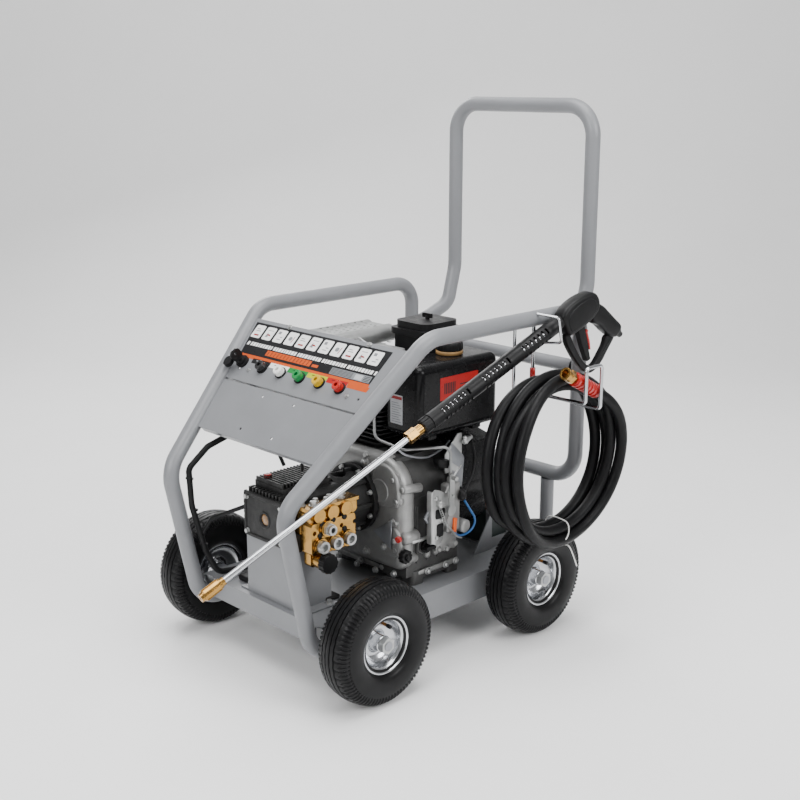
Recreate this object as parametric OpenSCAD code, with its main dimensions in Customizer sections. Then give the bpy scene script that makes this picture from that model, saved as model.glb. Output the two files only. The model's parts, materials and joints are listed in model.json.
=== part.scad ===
// Frame-mounted diesel pressure washer on four pneumatic wheels.
// X points to the machine's right (gun and hose side), Y points to the rear (push handle),
// Z is up. The origin is on the floor, midway between the four tyre contact patches.

/* [Wheels] */
// Outside diameter of the tyres
tyre_d = 260; // [250:1:270]
// Width of a tyre
tyre_w = 85; // [78:1:90]
// Distance from the middle of the machine to a tyre's mid-plane
half_track = 276; // [272:1:282]
// Distance between the axles
wheelbase = 486; // [470:2:500]
// Diameter of the axle ends
axle_d = 20; // [16:1:20]

/* [Frame] */
// Outside diameter of the frame tube
tube_d = 34; // [30:1:36]
// Wall of the frame tube
tube_wall = 2; // [1.5:0.5:3]
// Height of the top rail's centreline
rail_z = 721; // [700:1:740]
// Half width of the hoops at the base
base_x = 192; // [188:1:196]
// Half width of the hoops at the top rail
top_x = 268; // [262:1:272]
// Height of the push handle's centreline
handle_z = 1158; // [1100:1:1200]
// Half width of the push handle
handle_x = 210; // [190:1:220]

/* [Deck] */
// Height of the deck sheet's top face
deck_z = 150; // [148:1:152]
// Half width of the deck
deck_x = 212; // [212:1:214]
// Thickness of the deck sheet
deck_t = 2.5; // [2:0.5:4]

/* [Drive line] */
// Height of the crankshaft and pump shaft
shaft_z = 335; // [325:1:345]
// Sideways offset of the crankshaft
shaft_x = 30; // [20:1:40]

/* [Spray gun] */
// Heel angle of the lance above the horizontal
lance_pitch = 24.8; // [20:0.1:28]
// Angle of the lance away from the machine's side
lance_yaw = 6.9; // [5:0.1:8]
// Diameter of the lance tube
lance_d = 13; // [12:0.5:14]

/* [Hose] */
// Outside diameter of the hose
hose_d = 25; // [20:1:26]
// Outside radius of the hanging coil
coil_r = 194; // [180:1:200]

/* [Hidden] */
$fn = 48;

axle_y = wheelbase / 2;
wheel_z = tyre_d / 2;
base_z = 100;              // centreline of the base rails
rear_y = 390;              // rear uprights
cross_z = 325;             // low rear cross bar
steel = [0.62, 0.63, 0.65];
frame_grey = [0.6, 0.6, 0.61];
black = [0.09, 0.09, 0.1];
alloy = [0.7, 0.7, 0.69];
zinc = [0.8, 0.81, 0.83];
brass = [0.82, 0.66, 0.36];

// ---------- shared shapes ----------

function unit(v) = v / norm(v);
function bend_angle(a, b, c) = acos(max(-1, min(1, unit(b - a) * unit(c - b))));
function bend_cut(a, b, c, r) = r * tan(bend_angle(a, b, c) / 2);

// Turns +Z onto the direction from a to b, with a as the origin.
module along(a, b) {
  v = b - a;
  translate(a) rotate([0, acos(v.z / norm(v)), atan2(v.y, v.x)]) children();
}

// A straight round bar from a to b.
module bar(a, b, d) { along(a, b) cylinder(h = norm(b - a), d = d); }

// A round bar bent at each inner point of the list to radius r. The bends are a hair thicker
// than the straights, which run a short way into them.
module bent_bar(p, r, d) {
  last = len(p) - 1;
  lap = 1.2;
  for (i = [0 : last - 1]) {
    u = unit(p[i + 1] - p[i]);
    from = i == 0 ? p[0] : p[i] + u * (bend_cut(p[i - 1], p[i], p[i + 1], r[i]) - lap);
    to = i == last - 1 ? p[last] : p[i + 1] - u * (bend_cut(p[i], p[i + 1], p[i + 2], r[i + 1]) - lap);
    bar(from, to, d);
    if (i < last - 1) {
      w = unit(p[i + 2] - p[i + 1]);
      k = unit(cross(u, w));
      inward = cross(k, u);
      hub = to - u * lap + inward * r[i + 1];
      multmatrix([[-inward.x, u.x, k.x, hub.x], [-inward.y, u.y, k.y, hub.y],
                  [-inward.z, u.z, k.z, hub.z], [0, 0, 0, 1]])
        rotate_extrude(angle = bend_angle(p[i], p[i + 1], p[i + 2]))
          translate([r[i + 1], 0]) circle(d = d + 0.2);
    }
  }
}

module bent_tube(p, r, d, wall) {
  difference() {
    bent_bar(p, r, d);
    bent_bar(p, r, d - 2 * wall);
  }
}

// A box from one corner to the other.
module block(a, b) { translate(a) cube(b - a); }

// A box whose four edges along the given axis are round, made of exact cylinders.
module round_block(a, b, r, axis = "z") {
  s = b - a;
  if (axis == "z") translate(a) linear_extrude(s.z) round_rect(s.x, s.y, r);
  if (axis == "x") translate([a.x, b.y, a.z]) rotate([90, 0, 90]) mirror([1, 0, 0])
    linear_extrude(s.x) round_rect(s.y, s.z, r);
  if (axis == "y") translate([a.x, b.y, a.z]) rotate([90, 0, 0])
    linear_extrude(s.y) round_rect(s.x, s.z, r);
}

module round_rect(w, h, r) {
  translate([r, 0]) square([w - 2 * r, h]);
  translate([0, r]) square([w, h - 2 * r]);
  for (x = [r, w - r], y = [r, h - r]) translate([x, y]) circle(r);
}

module x_cyl(p, r, h) { translate(p) rotate([0, 90, 0]) cylinder(r = r, h = h); }
module y_cyl(p, r, h) { translate(p) rotate([-90, 0, 0]) cylinder(r = r, h = h); }

// Hexagon head with a washer, standing on +Z.
module hex_bolt(af, h, washer = 1.2) {
  cylinder(d = af * 1.5, h = washer);
  translate([0, 0, washer]) cylinder(d = af / cos(30), h = h, $fn = 6);
}

// ---------- frame ----------

function hoop_path(s) = [
  [s * base_x, rear_y + 12, base_z], [s * base_x, -340, base_z], [s * 192, -406, 415],
  [s * 267, -92, rail_z], [s * top_x, rear_y, rail_z], [s * top_x, rear_y, cross_z],
  [s * 0.3, rear_y, cross_z]];
hoop_r = [0, 62, 70, 78, 55, 62, 0];

module hoop(s) { color(frame_grey) bent_tube(hoop_path(s), hoop_r, tube_d, tube_wall); }
module hoop_right() { hoop(1); }
module hoop_left() { hoop(-1); }

module rear_tubes() {
  color(frame_grey) {
    for (s = [-1, 1]) difference() {
      bar([s * 189, rear_y, base_z + 16.5], [s * 189, rear_y, cross_z - 16.5], tube_d - 2);
      bar([s * 189, rear_y, base_z + 10], [s * 189, rear_y, cross_z - 10], tube_d - 2 - 2 * tube_wall);
    }
    difference() {
      bar([-top_x + 16.5, rear_y, 589], [top_x - 16.5, rear_y, 589], tube_d - 4);
      bar([-top_x + 10, rear_y, 589], [top_x - 10, rear_y, 589], tube_d - 4 - 2 * tube_wall);
    }
  }
}

function handle_path() = [
  [-top_x, rear_y + 8, 612], [-236, 418, 634], [-handle_x, 462, 668], [-handle_x, 486, 760],
  [-handle_x, 486, handle_z], [handle_x, 486, handle_z], [handle_x, 486, 760],
  [handle_x, 462, 668], [236, 418, 634], [top_x, rear_y + 8, 612]];

module push_handle() {
  color(frame_grey) bent_tube(handle_path(), [0, 60, 50, 90, 68, 68, 90, 50, 60, 0], tube_d, tube_wall);
}

deck_front = -315;
deck_rear = 372;
module deck_tray() {
  color(frame_grey) difference() {
    union() {
      block([-deck_x, deck_front, deck_z - deck_t], [deck_x, deck_rear, deck_z]);
      for (s = [-1, 1])
        block([s * deck_x - (s > 0 ? deck_t : 0), deck_front + 30, 86],
              [s * deck_x + (s < 0 ? deck_t : 0), deck_rear - 6, deck_z - 0.5]);
      block([-174, deck_front, 106], [174, deck_front + deck_t, deck_z - 0.5]);
      block([-174, deck_rear - deck_t, 106], [174, deck_rear, deck_z - 0.5]);
    }
    // clearance where the axles pass the side flanges
    for (y = [-axle_y, axle_y]) x_cyl([-deck_x - 5, y, wheel_z], 13.5, 2 * deck_x + 10);
    // engine bolts, drain hole and the front corner slots around the legs
    for (x = [-60, 140], y = [-12, 96]) translate([x, y, deck_z - 10]) cylinder(d = 11, h = 20);
    translate([120, 40, deck_z - 10]) cylinder(d = 38, h = 20);
    for (s = [-1, 1]) translate([s * base_x, -330, deck_z - 10]) cylinder(r = 21, h = 20);
    for (x = [-60, 70]) translate([x, -262, deck_z - 10]) cylinder(d = 9, h = 20);
  }
}

// Each axle is a bar with a collar on both sides that the hub runs against.
axle_collar = half_track - 32.5;
module axles() {
  color(steel) for (y = [-axle_y, axle_y]) {
    x_cyl([-axle_collar, y, wheel_z], 13, 2 * axle_collar);
    x_cyl([-half_track - 38, y, wheel_z], axle_d / 2, 2 * half_track + 76);
  }
}

module hub_nuts() {
  color(zinc) for (s = [-1, 1], y = [-axle_y, axle_y])
    translate([s * (half_track + 22.4), y, wheel_z]) rotate([0, s * 90, 0]) {
      difference() {
        union() {
          cylinder(r = 15, h = 2);
          translate([0, 0, 2]) cylinder(d = 30 / cos(30), h = 12, $fn = 6);
        }
        translate([0, 0, -1]) cylinder(d = axle_d, h = 20);
      }
    }
}

// ---------- wheels ----------

rim_r = 62.5;       // flange radius
// Half of the tyre's section, as [radius, distance from the mid-plane].
tyre_half = [[51.5, 27], [61.5, 29], [64.5, 36], [74, 40.5], [88, tyre_w / 2], [102, tyre_w / 2 - 0.5],
  [112, 39.5], [119, 35], [124.5, 27], [127.5, 18], [127.8, 15.5], [124.8, 14.5], [124.8, 11.5],
  [128.7, 10.5], [wheel_z - 0.5, 5]];
function flip(p) = [for (i = [len(p) - 1 : -1 : 0]) [p[i].x, -p[i].y]];

// Solids of revolution about the machine's X axis, from [radius, sideways] outlines.
module wheel_turn(p) { rotate([0, 90, 0]) rotate_extrude($fn = 96) polygon(p); }

module tyre() {
  crown = [[129.5, 2.2], [126.5, 1.4], [126.5, -1.4], [129.5, -2.2]];
  color(black) wheel_turn([for (q = concat(tyre_half, crown, flip(tyre_half)))
    [q.x > 100 ? 100 + (q.x - 100) * (wheel_z - 100) / 29.5 : q.x, q.y]]);
}

// Pressed steel rim, dished from the outside, with its hub tube, bearings and tyre valve.
module rim() {
  color(zinc) difference() {
    union() {
      // the flanges and barrel
      wheel_turn([[rim_r, 36], [rim_r, 33.5], [58, 31], [51, 29.5], [50.5, 12], [46, 8], [46, -8],
        [50.5, -12], [51, -29.5], [58, -31], [rim_r, -33.5], [rim_r, -36], [56, -33.5], [48, -31.5],
        [47.5, -14], [43.5, -9], [43.5, 9], [47.5, 14], [48, 31.5], [56, 33.5]]);
      // dished disc and hub
      wheel_turn([[axle_d / 2 + 4, -5], [28, -5], [36, 0], [44.5, 2], [44.5, 5], [35, 4], [27, 11],
        [20, 12.5], [axle_d / 2 + 4, 12.5]]);
      wheel_turn([[axle_d / 2 + 0.05, -32], [16.5, -32], [16.5, -8], [17.5, -8], [17.5, 18],
        [16.5, 22], [axle_d / 2 + 0.05, 22]]);
    }
    for (a = [45 : 90 : 315]) rotate([a, 0, 0]) x_cyl([-10, 0, 33], 3.5, 40);
  }
  // valve stem
  color(black) rotate([20, 0, 0]) translate([0, 0, 39]) rotate([0, 78, 0]) cylinder(d = 7, h = 34);
}

module mirror_wheel(side, y) {
  translate([side * half_track, y, wheel_z]) mirror([side < 0 ? 1 : 0, 0, 0]) children();
}
module tyre_front_right() { mirror_wheel(1, -axle_y) tyre(); }
module tyre_front_left() { mirror_wheel(-1, -axle_y) tyre(); }
module tyre_rear_right() { mirror_wheel(1, axle_y) tyre(); }
module tyre_rear_left() { mirror_wheel(-1, axle_y) tyre(); }
module rim_front_right() { mirror_wheel(1, -axle_y) rim(); }
module rim_front_left() { mirror_wheel(-1, -axle_y) rim(); }
module rim_rear_right() { mirror_wheel(1, axle_y) rim(); }
module rim_rear_left() { mirror_wheel(-1, axle_y) rim(); }

// ---------- control panel ----------

slope_run = norm([-92 + 406, rail_z - 415]);
slope_angle = atan2(rail_z - 415, -92 + 406);
// Panel frame: X across, Y up the slope from the front bend, Z out of the panel.
module on_panel() { translate([0, -406, 415]) rotate([slope_angle, 0, 0]) children(); }
function hoop_half(s) = 192 + (267 - 192) * s / slope_run;

panel_t = 2;
nozzle_pitch = 62.7;
function nozzle_x(i) = -122 + nozzle_pitch * i;
nozzle_s = 286;
key_at = [-193, 289];

module panel_sheet(s0, s1) {
  gap = tube_d / 2 - 0.5;
  translate([0, 0, -1]) linear_extrude(panel_t) polygon([
    [-(hoop_half(s0) - gap), s0], [hoop_half(s0) - gap, s0],
    [hoop_half(s1) - gap, s1], [-(hoop_half(s1) - gap), s1]]);
}

module control_panel() {
  color(frame_grey) on_panel() difference() {
    union() {
      panel_sheet(244, 403);
      block([-225, 244, -14], [225, 246, 0]);
      block([-238, 401, -16], [238, 403, 0]);
      // side tabs that screw to the hoops
      for (s = [-1, 1]) block([s * 222 - 6, 262, -9], [s * 222 + 6, 296, 0]);
    }
    for (i = [0 : 4]) translate([nozzle_x(i), nozzle_s, -8]) cylinder(r = 11, h = 20);
    translate([key_at.x, key_at.y, -8]) cylinder(r = 10, h = 20);
    for (s = [-1, 1]) translate([s * 193, 274, -12]) cylinder(d = 6, h = 24);
  }
}

module lower_panel() {
  color(frame_grey) on_panel() difference() {
    union() {
      panel_sheet(115, 239.5);
      block([-186, 115, -14], [186, 117, 0]);
      block([-204, 237.5, -14], [204, 239.5, 0]);
    }
    for (x = [-67, 36], s = [140, 223]) translate([x, s, -8]) cylinder(d = 6, h = 20);
  }
}

module key_switch() {
  color(black) on_panel() translate([key_at.x, key_at.y, 0]) {
    difference() {
      union() {
        translate([0, 0, -28]) cylinder(r = 9.5, h = 30);
        translate([0, 0, 1.2]) cylinder(r = 15, h = 6);
        translate([0, 0, 7]) cylinder(r = 11.5, h = 6);
        translate([0, 0, -36]) cylinder(r = 13, h = 10);
      }
      translate([0, 0, 2]) cylinder(r = 4.55, h = 20);
    }
  }
}

// Key with its moulded head, ring and fob.
module ignition_key() {
  color(black) on_panel() translate([key_at.x, key_at.y, 0]) {
    translate([0, 0, 2.5]) cylinder(r = 4.5, h = 14);
    translate([-3, -13, 16]) difference() {
      rotate([90, 0, 90]) linear_extrude(6) round_rect(26, 24, 7);
      translate([-1, 13, 17]) rotate([0, 90, 0]) cylinder(r = 3, h = 8);
    }
    translate([0, -3.5, 33]) rotate([0, 78, 15]) rotate_extrude() translate([9, 0]) circle(r = 1);
    translate([-26, -31, 15.5]) rotate([0, 0, 20]) linear_extrude(9) round_rect(22, 24, 9);
  }
}

module nozzle_holders() {
  color(black) on_panel() for (i = [0 : 4]) translate([nozzle_x(i), nozzle_s, 0]) difference() {
    union() {
      translate([0, 0, 1.2]) cylinder(r = 13.5, h = 3);
      translate([0, 0, -4.5]) cylinder(r = 10.9, h = 6);
      translate([0, 0, -4.5]) cylinder(r = 13, h = 3);
    }
    translate([0, 0, -6]) cylinder(r = 8.05, h = 14);
  }
}

// Quick-fit spray nozzle: coloured collar, steel stem with its ball groove.
module spray_nozzle(i, tint) {
  color(tint) on_panel() translate([nozzle_x(i), nozzle_s, 0]) difference() {
    union() {
      translate([0, 0, -18]) cylinder(r = 8, h = 24);
      translate([0, 0, 4.6]) cylinder(r = 11, h = 11);
      translate([0, 0, 15.5]) cylinder(r1 = 11, r2 = 9.5, h = 2);
    }
    translate([0, 0, -12]) rotate_extrude() translate([8.6, 0]) circle(r = 2);
    translate([0, 0, 10]) cylinder(r = 4.5, h = 12);
    translate([0, 0, -25]) cylinder(r = 3, h = 50);
  }
}
module nozzle_black() { spray_nozzle(0, [0.1, 0.1, 0.1]); }
module nozzle_white() { spray_nozzle(1, [0.92, 0.92, 0.9]); }
module nozzle_green() { spray_nozzle(2, [0.1, 0.6, 0.3]); }
module nozzle_yellow() { spray_nozzle(3, [0.95, 0.7, 0.15]); }
module nozzle_red() { spray_nozzle(4, [0.85, 0.1, 0.12]); }

// ---------- engine ----------

engine_front = -48;       // joint face of the gear cover
engine_rear = 112;
cyl_x = -12;              // cylinder axis
cyl_y = 36;
shaft_bore = 15.05;

// Outline of the crankcase seen from the front.
module case_outline(grow = 0) {
  translate([-92 - grow, 172]) square([254 + 2 * grow, 176]);
  translate([-60 - grow, 165]) square([190 + 2 * grow, 270 + grow]);
  for (x = [-22, 90]) translate([x, 365]) circle(r = 72 + grow);
  translate([-22, 365]) square([112, 72 + grow]);
}

module crankcase() {
  color(alloy) difference() {
    union() {
      translate([0, engine_rear, 0]) rotate([90, 0, 0]) linear_extrude(engine_rear - engine_front)
        case_outline();
      // sump and feet
      round_block([-78, -32, deck_z + 12], [166, 114, 182], 12);
      for (x = [-78, 126], y = [-32, 76]) round_block([x, y, deck_z + 0.2], [x + 40, y + 38, 182], 10);
      // stiffening ribs on the right side
      for (y = [-20 : 32 : 100]) block([160, y, 200], [166, y + 5, 330]);
      // injection pump seat and starter boss
      x_cyl([158, 62, 292], 26, 12);
      x_cyl([158, 4, 236], 17, 10);
    }
    y_cyl([shaft_x, engine_front - 40, shaft_z], shaft_bore, 260);
    // crank chamber
    y_cyl([shaft_x, engine_front + 20, shaft_z], 66, 116);
    translate([cyl_x, cyl_y, 380]) cylinder(r = 44, h = 80);
    for (x = [-60, 140], y = [-12, 96]) translate([x, y, deck_z - 1]) cylinder(d = 11, h = 40);
    // dipstick hole
    translate([168, 4, 236]) rotate([0, 90, 0]) translate([0, 0, -40]) cylinder(r = 6.5, h = 60);
  }
}

cover_bolts = [[-78, 200], [-84, 262], [-84, 330], [-62, 412], [-8, 434], [62, 434], [122, 418],
  [152, 372], [158, 300], [158, 240], [150, 184], [90, 176], [28, 174], [-36, 176]];

module gear_cover() {
  color(alloy) difference() {
    union() {
      translate([0, engine_front - 0.2, 0]) rotate([90, 0, 0]) linear_extrude(14) case_outline(-4);
      // bulged middle, shaft flange and camshaft boss
      translate([0, engine_front - 10, 0]) rotate([90, 0, 0]) linear_extrude(12) case_outline(-22);
      y_cyl([shaft_x, engine_front - 27, shaft_z], 70, 12);
      y_cyl([104, engine_front - 27, 362], 33, 10);
      y_cyl([-58, engine_front - 27, 300], 20, 10);
      // corner boss
      y_cyl([142, engine_front - 26, 392], 11, 30);
      // bolt bosses
      for (b = cover_bolts) y_cyl([b.x * 0.96, engine_front - 18, b.y], 8.5, 18);
      // low web to the foot
      block([60, engine_front - 20, 186], [66, engine_front - 8, 300]);
      block([120, engine_front - 20, 190], [125, engine_front - 8, 330]);
    }
    y_cyl([shaft_x, engine_front - 50, shaft_z], shaft_bore, 80);
    y_cyl([104, engine_front - 30, 362], 25, 5);
    // seats of the cover bolts
    for (b = cover_bolts) y_cyl([b.x * 0.96, engine_front - 34, b.y], 7.6, 15.9);
    block([-200, engine_front - 0.2, 0], [300, 300, 600]);
  }
}

// Finned barrel.
module cylinder_fins(w, l, z0, n, pitch) {
  for (i = [0 : n - 1])
    translate([0, 0, z0 + i * pitch])
      round_block([cyl_x - w / 2, cyl_y - l / 2, 0], [cyl_x + w / 2, cyl_y + l / 2, 3.2], 16);
}

module engine_barrel() {
  color([0.3, 0.3, 0.31]) difference() {
    union() {
      translate([cyl_x, cyl_y, 437.2]) cylinder(r = 54, h = 108);
      cylinder_fins(136, 132, 446, 10, 10);
      round_block([cyl_x - 62, cyl_y - 58, 437.2], [cyl_x + 62, cyl_y + 58, 444], 14);
    }
    translate([cyl_x, cyl_y, 430]) cylinder(r = 43, h = 130);
  }
}

module cylinder_head() {
  color(alloy) {
    difference() {
      union() {
        round_block([cyl_x - 66, cyl_y - 62, 545.4], [cyl_x + 66, cyl_y + 62, 558], 14);
        cylinder_fins(128, 124, 562, 4, 9);
        round_block([cyl_x - 48, cyl_y - 50, 556], [cyl_x + 48, cyl_y + 50, 604], 12);
        // exhaust and intake ports
        x_cyl([cyl_x - 74, cyl_y + 30, 584], 17, 40);
        y_cyl([cyl_x + 18, cyl_y + 40, 584], 17, 32);
      }
      x_cyl([cyl_x - 80, cyl_y + 30, 584], 12, 50);
      y_cyl([cyl_x + 18, cyl_y + 40, 584], 12, 50);
    }
    // rocker cover with its cross bolts and decompression shaft
    round_block([cyl_x - 44, cyl_y - 46, 604.3], [cyl_x + 44, cyl_y + 46, 640], 14);
    for (x = [-30, 30]) translate([cyl_x + x, cyl_y, 640]) hex_bolt(10, 6);
    y_cyl([cyl_x + 24, cyl_y - 58, 622], 6, 16);
    // fuel injector with its clamp
    translate([cyl_x - 8, cyl_y - 54, 600]) cylinder(r = 8, h = 46);
    translate([cyl_x - 8, cyl_y - 54, 646]) cylinder(d = 17, h = 10, $fn = 6);
    // injector pipe down to the pump
    bent_bar([[cyl_x - 8, cyl_y - 54, 654], [cyl_x - 8, cyl_y - 54, 672], [cyl_x + 60, cyl_y - 71, 660],
      [cyl_x + 62, cyl_y - 71, 462], [120, -14, 446], [186, 62, 452], [186, 62, 386.2]],
      [0, 8, 8, 20, 16, 16, 0], 6.5);
  }
}

// Silencer box beside the head, with its guard and outlet.
module muffler() {
  color(zinc) {
    difference() {
      union() {
        round_block([-190, -10, 548], [-92, 146, 626], 30, "y");
        round_block([-196, -22, 628], [-84, 156, 664], 20, "y");
        x_cyl([-94, cyl_y + 30, 584], 16, 7.7);
        for (y = [10, 126]) translate([-144, y, 622]) cylinder(r = 7, h = 14);
      }
      // hollow of the top guard, open below
      round_block([-192, -19, 622], [-88, 153, 660], 16, "y");
      block([-210, -30, 626.01], [-60, 190, 632]);
      x_cyl([-120, cyl_y + 30, 584], 11, 40);
      // outlet
      translate([-144, 172, 588]) rotate([90, 0, 0]) cylinder(r = 13, h = 40);
      for (y = [4 : 21 : 142], x = [-172 : 16 : -104]) translate([x, y, 654]) cylinder(r = 3.6, h = 20);
    }
    difference() {
      y_cyl([-144, 144, 588], 15, 34);
      y_cyl([-144, 136, 588], 13, 50);
    }
    for (y = [10, 126]) translate([-144, y, 626]) cylinder(r = 6, h = 36);
  }
}

module air_cleaner() {
  color(black) {
    difference() {
      union() {
        round_block([-56, 118, 556], [54, 232, 664], 16);
        round_block([-62, 112, 660], [60, 238, 674], 18);
        round_block([-54, 120, 670], [52, 230, 690], 22);
        y_cyl([cyl_x + 18, cyl_y + 72.3, 584], 16, 14);
      }
      round_block([-52, 122, 560], [50, 228, 668], 13);
      y_cyl([cyl_x + 18, 90, 584], 12, 40);
    }
    // wing nut
    translate([0, 176, 690]) { cylinder(r = 5, h = 8); block([-14, -2.5, 4], [14, 2.5, 14]); }
    // filter element
    difference() {
      translate([0, 176, 562]) cylinder(r = 40, h = 90);
      translate([0, 176, 558]) cylinder(r = 27, h = 100);
    }
  }
}

tank_a = [60, -20, 474];
tank_b = [172, 232, 636];
module fuel_tank() {
  color(black) difference() {
    union() {
      round_block(tank_a + [0, 0, 6], tank_b - [0, 0, 10], 16);
      round_block(tank_a + [5, 5, 0], tank_b - [5, 5, 0], 14);
      // seam flange around the middle and mounting brackets
      round_block([tank_a.x - 4, tank_a.y - 4, 486], [tank_b.x + 4, tank_b.y + 4, 489], 18);
      for (y = [30, 170]) block([84, y, 462], [150, y + 26, 476]);
      // filler neck
      translate([112, 132, 630]) cylinder(r = 21, h = 13);
    }
    round_block(tank_a + [3, 3, 3], tank_b - [3, 3, 13], 13);
    translate([112, 132, 610]) cylinder(r = 17.05, h = 60);
  }
}

// Screw cap; its plug turns in the filler neck.
module fuel_cap() {
  color(black) translate([112, 132, 0]) {
    translate([0, 0, 624]) cylinder(r = 17, h = 22);
    difference() {
      translate([0, 0, 643.4]) cylinder(r = 30, h = 20);
      for (a = [0 : 30 : 330]) rotate([0, 0, a]) translate([33.5, 0, 640]) cylinder(r = 5.5, h = 40);
    }
    translate([0, 0, 663]) cylinder(r = 25, h = 3);
  }
}

// Fan shroud with the rope starter's cover in its rear wall.
module blower_housing() {
  shell = 3;
  color(black) {
    difference() {
      union() {
        y_cyl([shaft_x, 114, shaft_z], 136, 108);
        translate([0, 222, 0]) rotate([90, 0, 0]) linear_extrude(108)
          polygon([[-112, 340], [-80, 540], [50, 540], [55, 466], [166, 440], [168, 350]]);
        y_cyl([shaft_x, 222, shaft_z], 104, 24);
        y_cyl([shaft_x, 244, shaft_z], 84, 14);
      }
      y_cyl([shaft_x, 100, shaft_z], 136 - shell, 122 - shell);
      translate([0, 222 - shell, 0]) rotate([90, 0, 0]) linear_extrude(130)
        polygon([[-112 + shell, 340], [-80 + shell, 537], [47, 537], [52, 463], [163, 437], [165, 350]]);
      y_cyl([shaft_x, 210, shaft_z], 101, 34);
      // air intake
      for (a = [0 : 15 : 345]) translate([shaft_x, 0, shaft_z]) rotate([0, a, 0])
        block([38, 250, -4], [74, 262, 4]);
      // rope guide hole on the left side
      x_cyl([-90, 236, 400], 5, 60);
    }
    y_cyl([shaft_x, 255, shaft_z], 30, 4);
    // fixing lugs
    for (a = [30 : 60 : 330]) translate([shaft_x, 0, shaft_z]) rotate([0, a, 0])
      y_cyl([106, 218, 0], 8, 14);
  }
}

module recoil_handle() {
  color(black) {
    translate([-117, 274, 400]) rotate([90, 0, 0]) cylinder(r = 11, h = 76);
    x_cyl([-112, 236, 400], 9, 40);
    x_cyl([-72.5, 236, 400], 2.4, 22);
  }
}

// Crankshaft, flywheel with its fan blades and the pump's shaft, turning together.
module flywheel_shaft() {
  color(steel) {
    y_cyl([shaft_x, -276, shaft_z], 15, 436);
    y_cyl([shaft_x, 128, shaft_z], 116, 14);
    y_cyl([shaft_x, 142, shaft_z], 40, 40);
    for (a = [0 : 22.5 : 337.5]) translate([shaft_x, 0, shaft_z]) rotate([0, a, 0])
      block([70, 141, -2], [112, 168, 2]);
  }
}

// Injection pump with the governor frame, stop lever plates and the fuel feed.
module injection_pump() {
  color(zinc) {
    x_cyl([170.2, 62, 292], 21, 22);
    round_block([176, 44, 262], [198, 80, 372], 5);
    translate([187, 62, 372]) cylinder(d = 16, h = 14, $fn = 6);
    // governor frame: a long pressed plate with a folded edge
    difference() {
      union() {
        round_block([198, 20, 214], [202, 66, 388], 8, "x");
        block([186, 20, 236], [202, 23, 372]);
      }
      round_block([190, 36, 236], [210, 54, 286], 6, "x");
      x_cyl([180, 43, 318], 6.05, 40);
      x_cyl([180, 43, 370], 4, 40);
    }
    for (z = [226, 300, 346]) x_cyl([198, 43, z], 5.5, 8);
    // sheet bracket with its bent ear, under the tank
    block([168, 60, 388], [171, 113, 470]);
    block([171, 67, 424], [192, 70, 452]);
    block([150, 60, 468], [171, 113, 471]);
    translate([196, 70, 400]) rotate([0, 35, 0]) block([-14, -3, 0], [12, 23, 2.5]);
    x_cyl([171, 80, 404], 6, 22);
    // spring posts and link rods
    bar([204, 30, 360], [204, 66, 404], 4);
    bar([203, 58, 240], [190, 96, 236], 9);
    bar([178, 88, 214], [178, 88, 300], 8);
    // stop solenoid
    x_cyl([166.2, 104, 262], 15, 30);
    x_cyl([196, 104, 262], 10, 8);
  }
}

// Speed control lever, pivoting on the governor frame.
module speed_lever() {
  color(zinc) {
    x_cyl([198.4, 43, 318], 6, 11.6);
    difference() {
      union() {
        translate([207.4, 43, 318]) rotate([90, 0, 90]) linear_extrude(3) {
          circle(r = 12);
          translate([-7, 0]) square([14, 74]);
          translate([0, 74]) circle(r = 7);
        }
        x_cyl([207.4, 43, 392], 5, 16);
      }
      x_cyl([200, 43, 352], 2.5, 20);
    }
  }
}

module dipstick() {
  color(black) translate([168, 4, 236]) rotate([0, 90, 0]) {
    translate([0, 0, -36]) cylinder(r = 2.5, h = 40);
    translate([0, 0, -6]) cylinder(r = 6.4, h = 7);
    translate([0, 0, 0.4]) cylinder(r = 15, h = 6);
    translate([-4, -14, 5]) cube([8, 28, 15]);
  }
}

// ---------- pump ----------

bell_front = -166;
module bell_housing() {
  color(black) difference() {
    union() {
      y_cyl([shaft_x, bell_front, shaft_z], 62, 90.4);
      y_cyl([shaft_x, -88, shaft_z], 76, 12.5);
      y_cyl([shaft_x, bell_front, shaft_z], 70, 12);
      for (a = [0 : 45 : 315]) translate([shaft_x, 0, shaft_z]) rotate([0, a, 0])
        block([50, bell_front, -4], [69, -80, 4]);
    }
    y_cyl([shaft_x, bell_front + 10, shaft_z], 52, 200);
    y_cyl([shaft_x, bell_front - 10, shaft_z], 26, 200);
    // hand hole to the coupling
    translate([shaft_x, -124, shaft_z + 20]) cylinder(r = 18, h = 80);
  }
}

pump_rear = bell_front - 0.3;
pump_front = -306;
// The four bolts through the pump's feet.
module pump_bolts() {
  for (x = [-51, 85], y = [pump_front + 22, pump_front + 84]) translate([x, y, 0]) children();
}

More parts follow.
